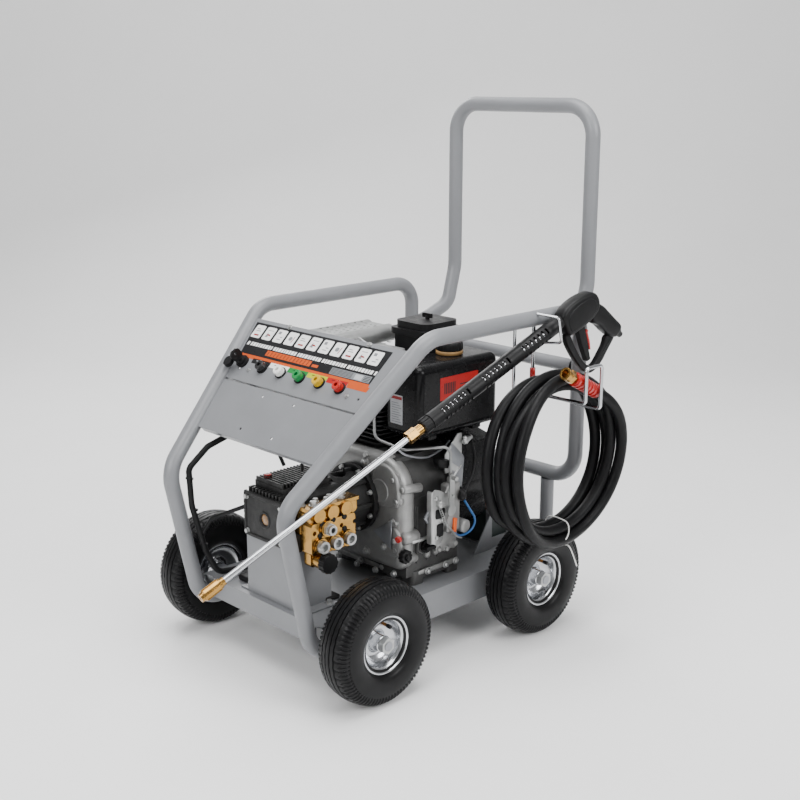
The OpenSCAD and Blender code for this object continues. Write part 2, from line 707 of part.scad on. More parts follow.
module pump_crankcase() {
  color([0.16, 0.16, 0.17]) difference() {
    union() {
      round_block([-42, pump_front, 288], [88, pump_rear, 396], 14, "y");
      round_block([-36, pump_front + 6, 384], [64, pump_rear - 4, 408], 8);
      // side and top fins
      for (y = [pump_front + 8 : 9 : pump_rear - 8]) {
        block([-52, y, 300], [-40, y + 4, 386]);
        block([-30, y, 406], [58, y + 4, 417]);
      }
      // bolted front cover
      round_block([-46, pump_front - 13, 290], [90, pump_front + 0.5, 388], 18, "y");
      for (z = [305 : 11 : 371]) block([-48, pump_front - 13, z], [-38, pump_front - 2, z + 5]);
      for (x = [-33 : 11 : 66]) block([x, pump_front - 10, 378], [x + 5, pump_front + 4, 398]);
      // feet
      block([-60, pump_front + 10, 284.2], [94, pump_front + 96, 296]);
      // side valve block beside the manifold
      block([80, pump_front + 2, 284.4], [106, pump_front + 46, 322]);
      // mating flange
      y_cyl([shaft_x, pump_rear - 10, shaft_z], 63, 10);
    }
    y_cyl([shaft_x, pump_front + 14, shaft_z], shaft_bore, 200);
    y_cyl([shaft_x, pump_front + 24, shaft_z], 40, 90);
    // sight glass recess
    y_cyl([22, pump_front - 16, 338], 15, 7);
    pump_bolts() translate([0, 0, 276]) cylinder(d = 9, h = 30);
    pump_bolts() translate([0, 0, 296]) cylinder(r = 8.8, h = 12);
  }
  // sight glass
  color([0.75, 0.6, 0.35]) y_cyl([22, pump_front - 11, 338], 14.5, 4);
  // oil filler cap
  color("red") translate([-8, pump_front + 22, 408]) {
    cylinder(r = 9, h = 14);
    cylinder(r = 11, h = 4);
  }
}

man_x = 106.4;
plunger_y = [-272, -236, -200];
module pump_manifold() {
  color(brass) difference() {
    union() {
      round_block([man_x, -294, 284], [man_x + 36, -176, 352], 8, "x");
      round_block([man_x, -296, 350], [man_x + 30, -166, 378], 9, "x");
      block([man_x - 18, -296, 324], [man_x + 2, -177, 372]);
      block([man_x, -298, 376], [man_x + 34, -164, 384]);
      for (y = plunger_y) {
        x_cyl([man_x + 10, y, 366], 15, 28);
        x_cyl([man_x + 10, y, 302], 17, 32);
      }
      // outlet boss and inlet elbow
      x_cyl([man_x + 30, -254, 336], 17, 12);
      x_cyl([man_x + 10, -266, 267.5], 17, 34);
      round_block([man_x + 2, -286, 253.5], [man_x + 22, -246, 293.5], 8, "x");
    }
    x_cyl([man_x + 20, -254, 336], 10.05, 40);
    for (y = plunger_y) x_cyl([man_x + 30, y, 302], 13.2, 20);
    for (y = [-290, -218, -182]) x_cyl([man_x + 28, y + 4, 332], 4.5, 12);
  }
}

module hex_on_x(p, af, h) { translate(p) rotate([0, 90, 0]) cylinder(d = af / cos(30), h = h, $fn = 6); }

// Valve caps, manifold bolts and the delivery fitting.
module pump_caps() {
  color(zinc) {
    for (y = plunger_y) {
      difference() {
        x_cyl([man_x + 30.2, y, 302], 13, 22);
        x_cyl([man_x + 42, y, 302], 8, 12);
      }
      translate([man_x + 17, y, 384.2]) hex_bolt(13, 8);
    }
    for (y = [-290, -254, -218, -182]) translate([man_x + 2, y, 384.2]) hex_bolt(10, 6);
    // delivery fitting
    difference() {
      union() {
        x_cyl([man_x + 22, -254, 336], 10, 22);
        hex_on_x([man_x + 42.2, -254, 336], 24, 7);
        x_cyl([man_x + 49, -254, 336], 10.5, 8);
      }
      x_cyl([man_x + 24, -254, 336], 6, 40);
    }
  }
}

module inlet_cap() {
  color(black) difference() {
    union() {
      x_cyl([man_x + 44.5, -266, 267.5], 19.5, 16);
      for (a = [0 : 30 : 330]) translate([man_x + 44.5, -266, 267.5]) rotate([a, 0, 0])
        translate([0, 0, 19]) x_cyl([0, 0, 0], 2, 16);
    }
    x_cyl([man_x + 30, -266, 267.5], 17.05, 24);
  }
}

// Folded sheet stand that carries the pump.
module pump_pedestal() {
  color(frame_grey) difference() {
    union() {
      block([-66, -300, 280.8], [98, -206, 284]);
      for (s = [-66, 95]) block([s, -300, deck_z + 0.2], [s + 3, -206, 284]);
      block([-66, -300, deck_z + 0.2], [98, -297, 284]);
      for (s = [-92, 97]) block([s, -300, deck_z + 0.2], [s + 27, -206, deck_z + 3.2]);
    }
    pump_bolts() translate([0, 0, 270]) cylinder(d = 9, h = 30);
    for (s = [-80, 112], y = [-284, -224]) translate([s, y, 140]) cylinder(d = 8.5, h = 30);
  }
}

// ---------- electrics ----------

module battery() {
  color([0.07, 0.12, 0.11]) {
    round_block([-70, 264, 156.4], [126, 364, 306], 5);
    round_block([-73, 261, 306], [129, 367, 324], 6);
  }
  color("dimgray") for (x = [-48, 104]) translate([x, 284, 324]) cylinder(d1 = 19, d2 = 17, h = 16);
  color("black") for (i = [0 : 5]) translate([-46 + i * 30, 332, 324]) cylinder(r = 9, h = 4);
}

module battery_clamp() {
  color(frame_grey) {
    block([-76, 258, deck_z + 0.2], [132, 370, 153.2]);
    for (s = [-76, 129]) block([s, 258, 153], [s + 3, 370, 176]);
    block([-76, 306, 324.3], [132, 322, 327.3]);
    // gusset plate in front of the battery
    translate([132.3, 0, 0]) rotate([90, 0, 90]) linear_extrude(3)
      polygon([[196, 150.2], [258, 150.2], [258, 244]]);
    block([118, 255, 150.2], [135, 258, 244]);
    for (x = [-80, 133.2]) {
      translate([x, 314, 153]) cylinder(d = 6, h = 182);
      translate([x, 314, 327.4]) cylinder(d = 11.5, h = 6, $fn = 6);
    }
    for (x = [-86, 127]) block([x, 306, 324.3], [x + 12, 322, 327.3]);
  }
}

// Wiring: from the key switch down the left front tube, over the deck to the battery and starter.
module wiring_loom() {
  color(black) {
    bent_bar([[key_at.x + 14, -202, 560], [-150, -242, 486], [-166, -322, 456], [-176, -366, 414],
      [-176, -362, 330], [-172, -334, 220], [-166, -308, 164], [-150, -200, 158], [-120, 120, 158],
      [-90, 240, 190], [-80, 276, 330], [-58, 284, 352]],
      [0, 30, 20, 22, 60, 60, 26, 60, 60, 30, 20, 0], 13);
    bent_bar([[-172, -340, 262], [-150, -330, 300], [-70, -300, 340]], [0, 24, 0], 9);
    bent_bar([[-14, -236, 430], [-20, -250, 470], [-60, -270, 500], [-120, -262, 500], [-152, -244, 488]],
      [0, 22, 26, 20, 0], 8);
    bent_bar([[40, -230, 430], [44, -236, 470], [20, -240, 520], [-60, -236, 520]], [0, 24, 26, 0], 6);
    // ties
    for (p = [[-176, -365, 390], [-175.5, -357, 318], [-172.4, -338, 235]])
      translate(p) rotate([-12, 0, 0]) cylinder(r = 8.5, h = 4);
  }
}

// ---------- spray gun and lance ----------

lance_tip = [197, -603, 305];
// Lance frame: Y runs from the nozzle to the gun, Z is up across it.
module on_lance() {
  translate(lance_tip) rotate([0, 0, -lance_yaw]) rotate([lance_pitch, 0, 0]) children();
}

module lance_fittings() {
  color(brass) on_lance() {
    difference() {
      union() {
        y_cyl([0, 6, 0], 10.5, 40);
        y_cyl([0, 0, 0], 8.5, 8);
        y_cyl([0, 44, 0], 8.5, 10);
        for (a = [0 : 60 : 300]) rotate([0, a, 0]) block([8, 9, -3.5], [11.5, 42, 3.5]);
      }
      y_cyl([0, -1, 0], 3, 8);
      y_cyl([0, 24, 0], lance_d / 2 + 0.02, 60);
    }
    difference() {
      union() {
        rotate([-90, 0, 0]) translate([0, 0, 520]) cylinder(d = 27, h = 24, $fn = 6);
        y_cyl([0, 542, 0], 11, 18);
      }
      y_cyl([0, 515, 0], lance_d / 2 + 0.02, 60);
    }
  }
}

module lance_tube() {
  color(zinc) on_lance() difference() {
    y_cyl([0, 24.5, 0], lance_d / 2, 945);
    y_cyl([0, 20, 0], lance_d / 2 - 2, 960);
  }
}

// Ventilated grip sleeve with its ribbed collar.
module lance_shroud() {
  color(black) on_lance() difference() {
    union() {
      y_cyl([0, 582, 0], 17.5, 376.2);
      y_cyl([0, 560.2, 0], 15, 23);
      for (a = [0 : 36 : 324]) rotate([0, a, 0]) block([13, 561, -3], [17, 580, 3]);
    }
    y_cyl([0, 500, 0], lance_d / 2 + 0.3, 500);
    y_cyl([0, 596, 0], 14.5, 352);
    for (a = [-38, 38, 142, 218], g = [0, 1, 2], i = [0 : 6]) rotate([0, a, 0])
      block([10, 612 + g * 118 + i * 12, -7], [22, 617 + g * 118 + i * 12, 7]);
  }
}

// Gun profile in the lance frame: Y along the lance, Z across it.
module gun_plate(half, p) {
  rotate([90, 0, 90]) translate([0, 0, -half]) linear_extrude(2 * half) polygon(p);
}
gun_y = 972;

module gun_body() {
  color(black) on_lance() translate([0, gun_y, 0]) difference() {
    union() {
      gun_plate(17, [[2, -34], [0, -14], [0, 12], [12, 22], [26, 26], [70, 24], [100, 20], [112, 6],
        [112, -16], [104, -30], [72, -40], [18, -40]]);
      // grip
      gun_plate(16, [[84, -28], [108, -20], [122, -46], [148, -92], [152, -102], [130, -116], [118, -110],
        [100, -84], [90, -62], [78, -44]]);
      // guard loop
      gun_plate(8, [[118, -108], [130, -114], [100, -128], [58, -152], [30, -152], [12, -126], [-4, -70],
        [-4, -40], [14, -34], [12, -60], [24, -116], [38, -138], [52, -138], [92, -116], [106, -100]]);
      y_cyl([0, -13.5, 0], 14, 16);
    }
    // trigger slot
    block([-7.3, 24, -90], [7.3, 72, -12]);
    y_cyl([0, -20, 0], lance_d / 2 + 0.02, 21);
    // pivots of the trigger and the latch
    x_cyl([-30, 42, -24], 3.05, 60);
  }
  // inlet nipple
  color(steel) on_lance() translate([0, gun_y + 140, -107]) rotate([-60 - 90, 0, 0]) difference() {
    union() { translate([0, 0, -8]) cylinder(r = 9, h = 14); cylinder(r = 7.5, h = 22); }
    translate([0, 0, 2]) cylinder(r = 4, h = 30);
  }
}

module trigger() {
  color([0.12, 0.12, 0.13]) on_lance() translate([0, gun_y, 0]) {
    gun_plate(7, [[34, -18], [50, -18], [56, -40], [50, -80], [44, -122], [34, -122],
      [34, -80], [36, -44]]);
    x_cyl([-15, 42, -24], 3, 30);
  }
}

// Red safety latch folded along the back of the trigger.
module safety_latch() {
  color("red") on_lance() translate([0, gun_y, 0]) {
    gun_plate(4, [[57.5, -56], [62, -58], [60, -84], [55, -104], [51.8, -103], [55.4, -82]]);
    x_cyl([-6.5, 59, -58], 3.4, 13);
  }
}

// ---------- hooks and hose ----------

module storage_hooks() {
  color(zinc) {
    // hose hanger under the rail: out below the coil, up, along and back in
    bent_bar([[266, 232, 706], [266, 232, 557.5], [hook_x, 232, 557.5], [hook_x, 232, 634],
      [hook_x, 284, 634], [hook_x, 284, 538], [345, 284, 538]], [0, 9, 9, 9, 9, 9, 0], 8);
    bent_bar([[266, 170, 706], [266, 170, 572], [266, 232, 572]], [0, 9, 0], 7);
    // fork that holds the lance against the rail
    bent_bar([[282, 222, 734], [330, 236, 730], [330, 248, 674], [266, 232, 668]], [0, 8, 8, 0], 6);
  }
}

hook_x = 411;
coil_c = [356, 214, 432];
coil_t = 70;
coil_in = 150;
module hose_coil() {
  color(black) translate(coil_c) rotate([0, 90, 0]) rotate_extrude($fn = 96)
    translate([coil_in, -coil_t / 2]) round_rect(coil_r - coil_in, coil_t, 10);
}

// The two hose ends lie on the coil's outer and inner side, each a swivel with a ribbed bend guard.
module outer_end() { translate([391, 186, 628]) rotate([-28, 0, 0]) children(); }
module inner_end() { translate([305, 364.9, 558.6]) rotate([14.1, 0, 180]) children(); }

module swivel() {
  difference() {
    union() {
      y_cyl([0, 0, 0], 13.5, 24);
      rotate([-90, 0, 0]) translate([0, 0, 12]) cylinder(d = 31, h = 12, $fn = 6);
      y_cyl([0, 24, 0], 9, 12);
    }
    y_cyl([0, -1, 0], 9, 20);
  }
}

module guard() {
  difference() {
    union() {
      y_cyl([0, 34, 0], hose_d / 2 + 1, 88);
      for (i = [0 : 6]) y_cyl([0, 38 + i * 12, 0], hose_d / 2 + 3, 6);
    }
    y_cyl([0, 33, 0], 9.05, 4);
  }
}

module hose_couplings() {
  color(brass) {
    outer_end() swivel();
    inner_end() swivel();
  }
}

module bend_guards() {
  color("red") {
    outer_end() guard();
    inner_end() guard();
  }
}

// ---------- fasteners ----------

module fasteners() {
  color(zinc) {
    for (b = cover_bolts) translate([b.x * 0.96, engine_front - 18.2, b.y]) rotate([90, 0, 0])
      hex_bolt(10, 6);
    for (x = [-60, 140], y = [-12, 96]) translate([x, y, deck_z - deck_t - 0.2]) rotate([180, 0, 0])
      hex_bolt(15, 9);
    for (s = [-80, 112], y = [-284, -224]) translate([s, y, deck_z + 3.3]) hex_bolt(10, 6);
    for (a = [22.5 : 45 : 337.5]) translate([shaft_x, -88.2, shaft_z]) rotate([0, a, 0])
      translate([69, 0, 0]) rotate([90, 0, 0]) hex_bolt(8, 6);
    for (x = [-35, 79], z = [301, 377]) translate([x, pump_front - 13.2, z]) rotate([90, 0, 0])
      hex_bolt(8, 5);
    pump_bolts() translate([0, 0, 296.2]) hex_bolt(10, 6);
    on_panel() for (s = [-1, 1]) translate([s * 160, 274, 1.2]) hex_bolt(6, 3);
    on_panel() for (x = [-125, 130]) translate([x, 398, 1.2]) hex_bolt(8, 3);
  }
}

hoop_right();
hoop_left();
rear_tubes();
push_handle();
deck_tray();
axles();
hub_nuts();
tyre_front_right();
tyre_front_left();
tyre_rear_right();
tyre_rear_left();
rim_front_right();
rim_front_left();
rim_rear_right();
rim_rear_left();
control_panel();
lower_panel();
fasteners();
key_switch();
ignition_key();
nozzle_holders();
nozzle_black();
nozzle_white();
nozzle_green();
nozzle_yellow();
nozzle_red();
crankcase();
gear_cover();
engine_barrel();
cylinder_head();
muffler();
air_cleaner();
fuel_tank();
fuel_cap();
blower_housing();
recoil_handle();
flywheel_shaft();
injection_pump();
speed_lever();
dipstick();
bell_housing();
pump_crankcase();
pump_manifold();
pump_caps();
inlet_cap();
pump_pedestal();
battery();
battery_clamp();
wiring_loom();
gun_body();
trigger();
safety_latch();
lance_shroud();
lance_tube();
lance_fittings();
storage_hooks();
hose_coil();
hose_couplings();
bend_guards();
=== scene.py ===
import json
import math

import bmesh
import bpy
from mathutils import Matrix, Vector


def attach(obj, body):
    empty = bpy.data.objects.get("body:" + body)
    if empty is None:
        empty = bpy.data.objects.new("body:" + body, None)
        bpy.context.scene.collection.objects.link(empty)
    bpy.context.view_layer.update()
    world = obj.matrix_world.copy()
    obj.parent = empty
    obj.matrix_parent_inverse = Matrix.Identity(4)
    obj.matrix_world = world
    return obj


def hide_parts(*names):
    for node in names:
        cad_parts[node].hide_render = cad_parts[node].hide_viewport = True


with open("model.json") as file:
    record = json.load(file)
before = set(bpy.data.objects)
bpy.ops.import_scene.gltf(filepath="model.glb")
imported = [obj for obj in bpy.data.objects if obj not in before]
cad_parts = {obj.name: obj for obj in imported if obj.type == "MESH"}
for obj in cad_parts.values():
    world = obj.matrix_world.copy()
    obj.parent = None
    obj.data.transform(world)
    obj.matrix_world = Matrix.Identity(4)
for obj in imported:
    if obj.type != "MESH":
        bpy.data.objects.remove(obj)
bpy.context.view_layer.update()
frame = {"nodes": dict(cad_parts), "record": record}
mm = 0.001

# ---------- camera ----------

cam_data = bpy.data.cameras.new("camera")
cam = bpy.data.objects.new("camera", cam_data)
bpy.context.scene.collection.objects.link(cam)
bpy.context.scene.camera = cam
AZ, EL = math.radians(46.11), math.radians(14.93)
cam.location = (1.9394, -1.7827, 1.2133)
back = Vector((math.sin(AZ) * math.cos(EL), -math.cos(AZ) * math.cos(EL), math.sin(EL)))
cam.rotation_mode = "QUATERNION"
cam.rotation_quaternion = (-back).to_track_quat("-Z", "Y")
cam_data.lens, cam_data.sensor_width = 55.54, 36.0
cam_data.shift_x, cam_data.shift_y = 0.00275, 0.01156
cam_data.clip_start, cam_data.clip_end = 0.05, 50.0


# ---------- materials ----------

DUST = (0.32, 0.31, 0.29)


def material(name, base, vary, metallic=0.0, rough=0.5, vary_scale=30.0, bumps=(), rough_vary=0.0,
             coat=0.0, coat_rough=0.1, dust=0.0, edge=0.0, spec=0.5):
    """A Principled material whose colour, roughness and relief vary over the object's own space.

    bumps lists (noise scale, strength, height in metres), and edge is the radius that rounds sharp edges.
    """
    m = bpy.data.materials.new(name)
    m.use_nodes = True
    nt = m.node_tree
    nt.nodes.clear()
    out = nt.nodes.new("ShaderNodeOutputMaterial")
    bsdf = nt.nodes.new("ShaderNodeBsdfPrincipled")
    nt.links.new(bsdf.outputs[0], out.inputs[0])
    bsdf.inputs["Base Color"].default_value = (*base, 1)
    bsdf.inputs["Metallic"].default_value = metallic
    bsdf.inputs["Roughness"].default_value = rough
    bsdf.inputs["Specular IOR Level"].default_value = spec
    bsdf.inputs["Coat Weight"].default_value = coat
    bsdf.inputs["Coat Roughness"].default_value = coat_rough
    coords = nt.nodes.new("ShaderNodeTexCoord").outputs["Object"]

    def noise(scale, detail=4.0, rough_n=0.55):
        n = nt.nodes.new("ShaderNodeTexNoise")
        n.inputs["Scale"].default_value = scale
        n.inputs["Detail"].default_value = detail
        n.inputs["Roughness"].default_value = rough_n
        nt.links.new(coords, n.inputs["Vector"])
        return n.outputs["Fac"]

    def ramp(amount, stops):
        """Blends between two (position, colour) stops as amount goes from one to the other."""
        r = nt.nodes.new("ShaderNodeValToRGB")
        for element, (position, colour) in zip(r.color_ramp.elements, stops):
            element.position = position
            element.color = (*colour, 1)
        nt.links.new(amount, r.inputs[0])
        return r.outputs[0]

    darker = [c * (1 - vary) for c in base]
    lighter = [min(1.0, c * (1 + vary)) for c in base]
    colour = ramp(noise(vary_scale), ((0.3, darker), (0.7, lighter)))
    if dust:
        mix = nt.nodes.new("ShaderNodeMix")
        mix.data_type = "RGBA"
        amount = ramp(noise(46.0, 8.0, 0.65), ((0.52, (0, 0, 0)), (0.78, (dust, dust, dust))))
        nt.links.new(amount, mix.inputs[0])
        nt.links.new(colour, mix.inputs[6])
        mix.inputs[7].default_value = (*DUST, 1)
        colour = mix.outputs[2]
    nt.links.new(colour, bsdf.inputs["Base Color"])
    if rough_vary:
        rng = nt.nodes.new("ShaderNodeMapRange")
        rng.inputs["To Min"].default_value = max(0.02, rough - rough_vary)
        rng.inputs["To Max"].default_value = min(1.0, rough + rough_vary)
        rng.inputs["From Min"].default_value = 0.3
        rng.inputs["From Max"].default_value = 0.7
        nt.links.new(noise(vary_scale * 1.7, 6.0), rng.inputs["Value"])
        nt.links.new(rng.outputs[0], bsdf.inputs["Roughness"])
    normal = None
    if edge:
        bevel = nt.nodes.new("ShaderNodeBevel")
        bevel.samples = 4
        bevel.inputs["Radius"].default_value = edge
        normal = bevel.outputs[0]
    for scale, strength, distance in bumps:
        bump = nt.nodes.new("ShaderNodeBump")
        bump.inputs["Strength"].default_value = strength
        bump.inputs["Distance"].default_value = distance
        nt.links.new(noise(scale, 3.0), bump.inputs["Height"])
        if normal is not None:
            nt.links.new(normal, bump.inputs["Normal"])
        normal = bump.outputs[0]
    if normal is not None:
        nt.links.new(normal, bsdf.inputs["Normal"])
    return m


PAINT = material("frame_paint", (0.185, 0.19, 0.2), rough=0.42, vary=0.04, vary_scale=14, rough_vary=0.06,
                 bumps=((900, 0.06, 0.0003),), coat=0.2, coat_rough=0.25, edge=0.0012, spec=0.4)
TYRE = material("tyre_rubber", (0.006, 0.006, 0.0065), rough=0.36, vary=0.25, vary_scale=40,
                bumps=((900, 0.15, 0.0004),), rough_vary=0.08, spec=0.16)
CHROME = material("chrome", (0.54, 0.55, 0.57), metallic=1.0, rough=0.2, rough_vary=0.03, vary=0.04,
                  vary_scale=60, bumps=((40, 0.03, 0.0006),), edge=0.0006)
ZINC = material("zinc_plate", (0.46, 0.465, 0.46), metallic=0.85, rough=0.4, rough_vary=0.05, vary=0.08,
                vary_scale=50, bumps=((60, 0.05, 0.0008),), edge=0.0006, spec=0.4)
STEEL = material("steel", (0.3, 0.31, 0.33), metallic=0.8, rough=0.42, rough_vary=0.05, vary=0.08,
                 vary_scale=50, bumps=((60, 0.05, 0.0008),), edge=0.0008, spec=0.4)
ALLOY = material("cast_alloy", (0.36, 0.365, 0.365), metallic=0.85, rough=0.38, rough_vary=0.09, vary=0.16,
                 vary_scale=34, bumps=((1100, 0.3, 0.0006), (180, 0.12, 0.0012)), edge=0.0026)
IRON = material("dark_cast_iron", (0.018, 0.018, 0.018), metallic=0.2, rough=0.45, rough_vary=0.12, vary=0.25,
                vary_scale=50, bumps=((900, 0.35, 0.0007),), dust=0.04, edge=0.0016, spec=0.25)
BLACK_PAINT = material("black_paint", (0.006, 0.006, 0.0065), rough=0.26, vary=0.15, rough_vary=0.05,
                       bumps=((900, 0.03, 0.0003),), coat=0.08, coat_rough=0.12, edge=0.0018, spec=0.12)
BLACK_PLASTIC = material("black_plastic", (0.007, 0.007, 0.0075), spec=0.2, rough=0.4, vary=0.2,
                         rough_vary=0.08, bumps=((1500, 0.25, 0.0004),), edge=0.001)
RUBBER = material("rubber", (0.006, 0.006, 0.0065), spec=0.2, rough=0.5, vary=0.25, vary_scale=60,
                  rough_vary=0.1, bumps=((900, 0.3, 0.0005),))
BRASS = material("brass", (0.38, 0.215, 0.06), metallic=1.0, rough=0.2, rough_vary=0.08, vary=0.14,
                 vary_scale=60, bumps=((700, 0.1, 0.0004),), edge=0.0014)
RED = material("red_plastic", (0.4, 0.01, 0.008), rough=0.3, vary=0.12, vary_scale=60, rough_vary=0.06,
               bumps=((900, 0.08, 0.0004),), coat=0.3, edge=0.001)
BATTERY = material("battery_case", (0.012, 0.022, 0.02), rough=0.42, vary=0.2, rough_vary=0.08,
                   bumps=((1200, 0.2, 0.0004),), edge=0.0015)
FLOOR = material("studio_floor", (0.93, 0.93, 0.93), rough=0.75, vary=0.01, vary_scale=3)

SLOT_MATERIAL = {
    "frame_steel": PAINT, "tyre": TYRE, "rim": CHROME, "zinc": ZINC, "steel": STEEL, "alloy": ALLOY,
    "dark_iron": IRON, "black_metal": BLACK_PAINT, "black_plastic": BLACK_PLASTIC, "brass": BRASS,
    "rubber": RUBBER, "red_plastic": RED, "battery_case": BATTERY,
}
TIPS = {"black": (0.012, 0.012, 0.013), "white": (0.8, 0.8, 0.78), "green": (0.006, 0.2, 0.045),
        "yellow": (0.55, 0.34, 0.006), "red": (0.4, 0.01, 0.006)}
for tint, colour in TIPS.items():
    SLOT_MATERIAL["nozzle_" + tint] = material("tip_" + tint, colour, rough=0.28, vary=0.1, vary_scale=80,
                                               rough_vary=0.06, bumps=((900, 0.06, 0.0003),), edge=0.0006)

for sub in frame["record"]["subparts"]:
    node = frame["nodes"].get(sub["node"])
    if node is None:
        continue
    node.data.materials.clear()
    node.data.materials.append(SLOT_MATERIAL[sub["material_slot"]])


# ---------- pieces ----------

def place(ob, body, replaces):
    """Links an object, gives it its body and hides the CAD nodes it stands for."""
    bpy.context.scene.collection.objects.link(ob)
    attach(ob, body)
    if replaces:
        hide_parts(*replaces)
    return ob


def add(name, bm, mat, body, smooth=True, replaces=()):
    """Makes a piece of a bmesh."""
    me = bpy.data.meshes.new(name)
    bmesh.ops.recalc_face_normals(bm, faces=bm.faces)
    bm.to_mesh(me)
    bm.free()
    me.materials.append(mat)
    for p in me.polygons:
        p.use_smooth = smooth
    return place(bpy.data.objects.new(name, me), body, replaces)


def tube_curve(name, points, radius, mat, body, res=6, replaces=()):
    """Makes a piece of a round rod along a smooth line led by points, all in metres."""
    curve = bpy.data.curves.new(name, "CURVE")
    curve.dimensions = "3D"
    curve.bevel_depth = radius
    curve.bevel_resolution = res
    curve.use_fill_caps = True
    line = curve.splines.new("NURBS")
    line.points.add(len(points) - 1)
    for control, p in zip(line.points, points):
        control.co = (*p, 1)
    line.order_u = 3
    line.use_endpoint_u = True
    line.resolution_u = 6
    curve.materials.append(mat)
    return place(bpy.data.objects.new(name, curve), body, replaces)


def path(*points):
    """Points in millimetres as points in metres."""
    return [Vector(p) * mm for p in points]


# ---------- outlines and solids, in millimetres ----------

def smoothstep(a, b, x):
    t = max(0.0, min(1.0, (x - a) / (b - a)))
    return t * t * (3 - 2 * t)


def smooth_loop(pts, per=6):
    """Catmull-Rom through a closed outline."""
    out = []
    n = len(pts)
    for i in range(n):
        p0, p1, p2, p3 = (Vector(pts[(i + k - 1) % n]) for k in range(4))
        for s in range(per):
            t = s / per
            out.append(0.5 * ((2 * p1) + (p2 - p0) * t + (2 * p0 - 5 * p1 + 4 * p2 - p3) * t * t
                              + (3 * p1 - p0 - 3 * p2 + p3) * t ** 3))
    return out


def arc_points(cu, cv, r, a0, a1, n=10):
    """An arc from a0 to a1 degrees about (cu, cv)."""
    angles = [math.radians(a0 + (a1 - a0) * k / n) for k in range(n + 1)]
    return [Vector((cu + r * math.cos(a), cv + r * math.sin(a))) for a in angles]


def rounded(u0, v0, u1, v1, r):
    """A rectangle with rounded corners."""
    corners = ((u1 - r, v0 + r, -90), (u1 - r, v1 - r, 0), (u0 + r, v1 - r, 90), (u0 + r, v0 + r, 180))
    return [p for cu, cv, start in corners for p in arc_points(cu, cv, r, start, start + 90, 4)]


def prism(bm, low, high):
    """A closed solid between two outlines of as many points each."""
    lo = [bm.verts.new(p) for p in low]
    hi = [bm.verts.new(p) for p in high]
    n = len(lo)
    for i in range(n):
        bm.faces.new((lo[i], lo[(i + 1) % n], hi[(i + 1) % n], hi[i]))
    bm.faces.new(hi)
    bm.faces.new(list(reversed(lo)))


def crowned_plate(bm, outline, half, edge, at, segments=4):
    """A plate of the outline, its rims rounded over by stepping the outline inwards; at maps (u, v, h)."""
    outline = [Vector(p) for p in outline]
    n = len(outline)
    area = sum(p.x * q.y - q.x * p.y for p, q in zip(outline, outline[1:] + outline[:1]))
    sign = 1 if area > 0 else -1
    normals = []
    for i in range(n):
        t = (outline[(i + 1) % n] - outline[i - 1]).normalized()
        normals.append(Vector((t.y, -t.x)) * sign)
    # (inset, height) from the lower cap's rim out to the side and up to the upper cap's rim
    angles = [math.pi / 2 * k / segments for k in range(segments + 1)]
    stack = [(edge * (1 - math.sin(a)), -half + edge * (1 - math.cos(a))) for a in angles]
    stack += [(inset, -h) for inset, h in reversed(stack)]
    loops = []
    for inset, h in stack:
        loops.append([bm.verts.new(at(p.x - away.x * inset, p.y - away.y * inset, h))
                      for p, away in zip(outline, normals)])
    for l0, l1 in zip(loops, loops[1:]):
        for i in range(n):
            bm.faces.new((l0[i], l0[(i + 1) % n], l1[(i + 1) % n], l1[i]))
    bm.faces.new(list(reversed(loops[0])))
    bm.faces.new(loops[-1])


def rounded_box(bm, lo, hi, r, seg=2):
    """A box from lo to hi, in metres, with all its edges and corners rounded to r."""
    lo, hi = Vector(lo), Vector(hi)
    middle, half = (lo + hi) / 2, (hi - lo) / 2
    corners = bmesh.ops.create_cube(bm, size=2.0)["verts"]
    for v in corners:
        v.co = Vector(math.copysign(half[i], v.co[i]) for i in range(3))
    edges = list(dict.fromkeys(e for v in corners for e in v.link_edges))
    bevel = bmesh.ops.bevel(bm, geom=edges + corners, offset=r, segments=seg, profile=0.5, affect="EDGES",
                            clamp_overlap=True)
    for v in {v for f in bevel["faces"] for v in f.verts} | {v for v in corners if v.is_valid}:
        v.co += middle


def close_round(bm, rings):
    """Faces between neighbouring rings of vertices, the last one joined to the first."""
    for r0, r1 in zip(rings, rings[1:] + rings[:1]):
        for k in range(len(r0) - 1):
            bm.faces.new((r0[k], r0[k + 1], r1[k + 1], r1[k]))


def lathe(bm, prof, seg, at):
    """Revolves (radius, along) points; at maps local (x, y, z) with z along."""
    rings = []
    for j in range(seg):
        a = 2 * math.pi * j / seg
        rings.append([bm.verts.new(at(r * math.cos(a), r * math.sin(a), z)) for r, z in prof])
    close_round(bm, rings)
    for k in (0, -1):
        if prof[k][0] > 0:
            bm.faces.new([r[k] for r in rings])


def turned(bm, a, b, prof, seg=28):
    """Revolves (radius, along) points about the line from a towards b."""
    a, b = Vector(a), Vector(b)
    turn = (b - a).to_track_quat("Z", "Y")
    lathe(bm, prof, seg, lambda x, y, z: (a + turn @ Vector((x, y, z))) * mm)


def pin(bm, a, b, r, seg=28, c=0.8):
    """A round bar from a to b with its ends chamfered by c."""
    length = (Vector(b) - Vector(a)).length
    turned(bm, a, b, [(0, 0), (r - c, 0), (r, c), (r, length - c), (r - c, length), (0, length)], seg)


def hex_head(bm, at, axis, r=6.0, h=5.0):
    """A washer and a hexagon bolt head on it, standing at a point and pointing along axis."""
    at, axis = Vector(at), Vector(axis)
    pin(bm, at, at + axis * 1.4, r * 1.3, 24, 0.4)
    turned(bm, at + axis * 1.3, at + axis * (h + 1.3), [(0, 0), (r, 0), (r, h - 1), (r - 1.1, h), (0, h)], 6)


def facing_front(y):
    """Lays an outline of (x, z) points in the plane y, its height towards the front."""
    return lambda u, v, h: Vector((u, y - h, v)) * mm


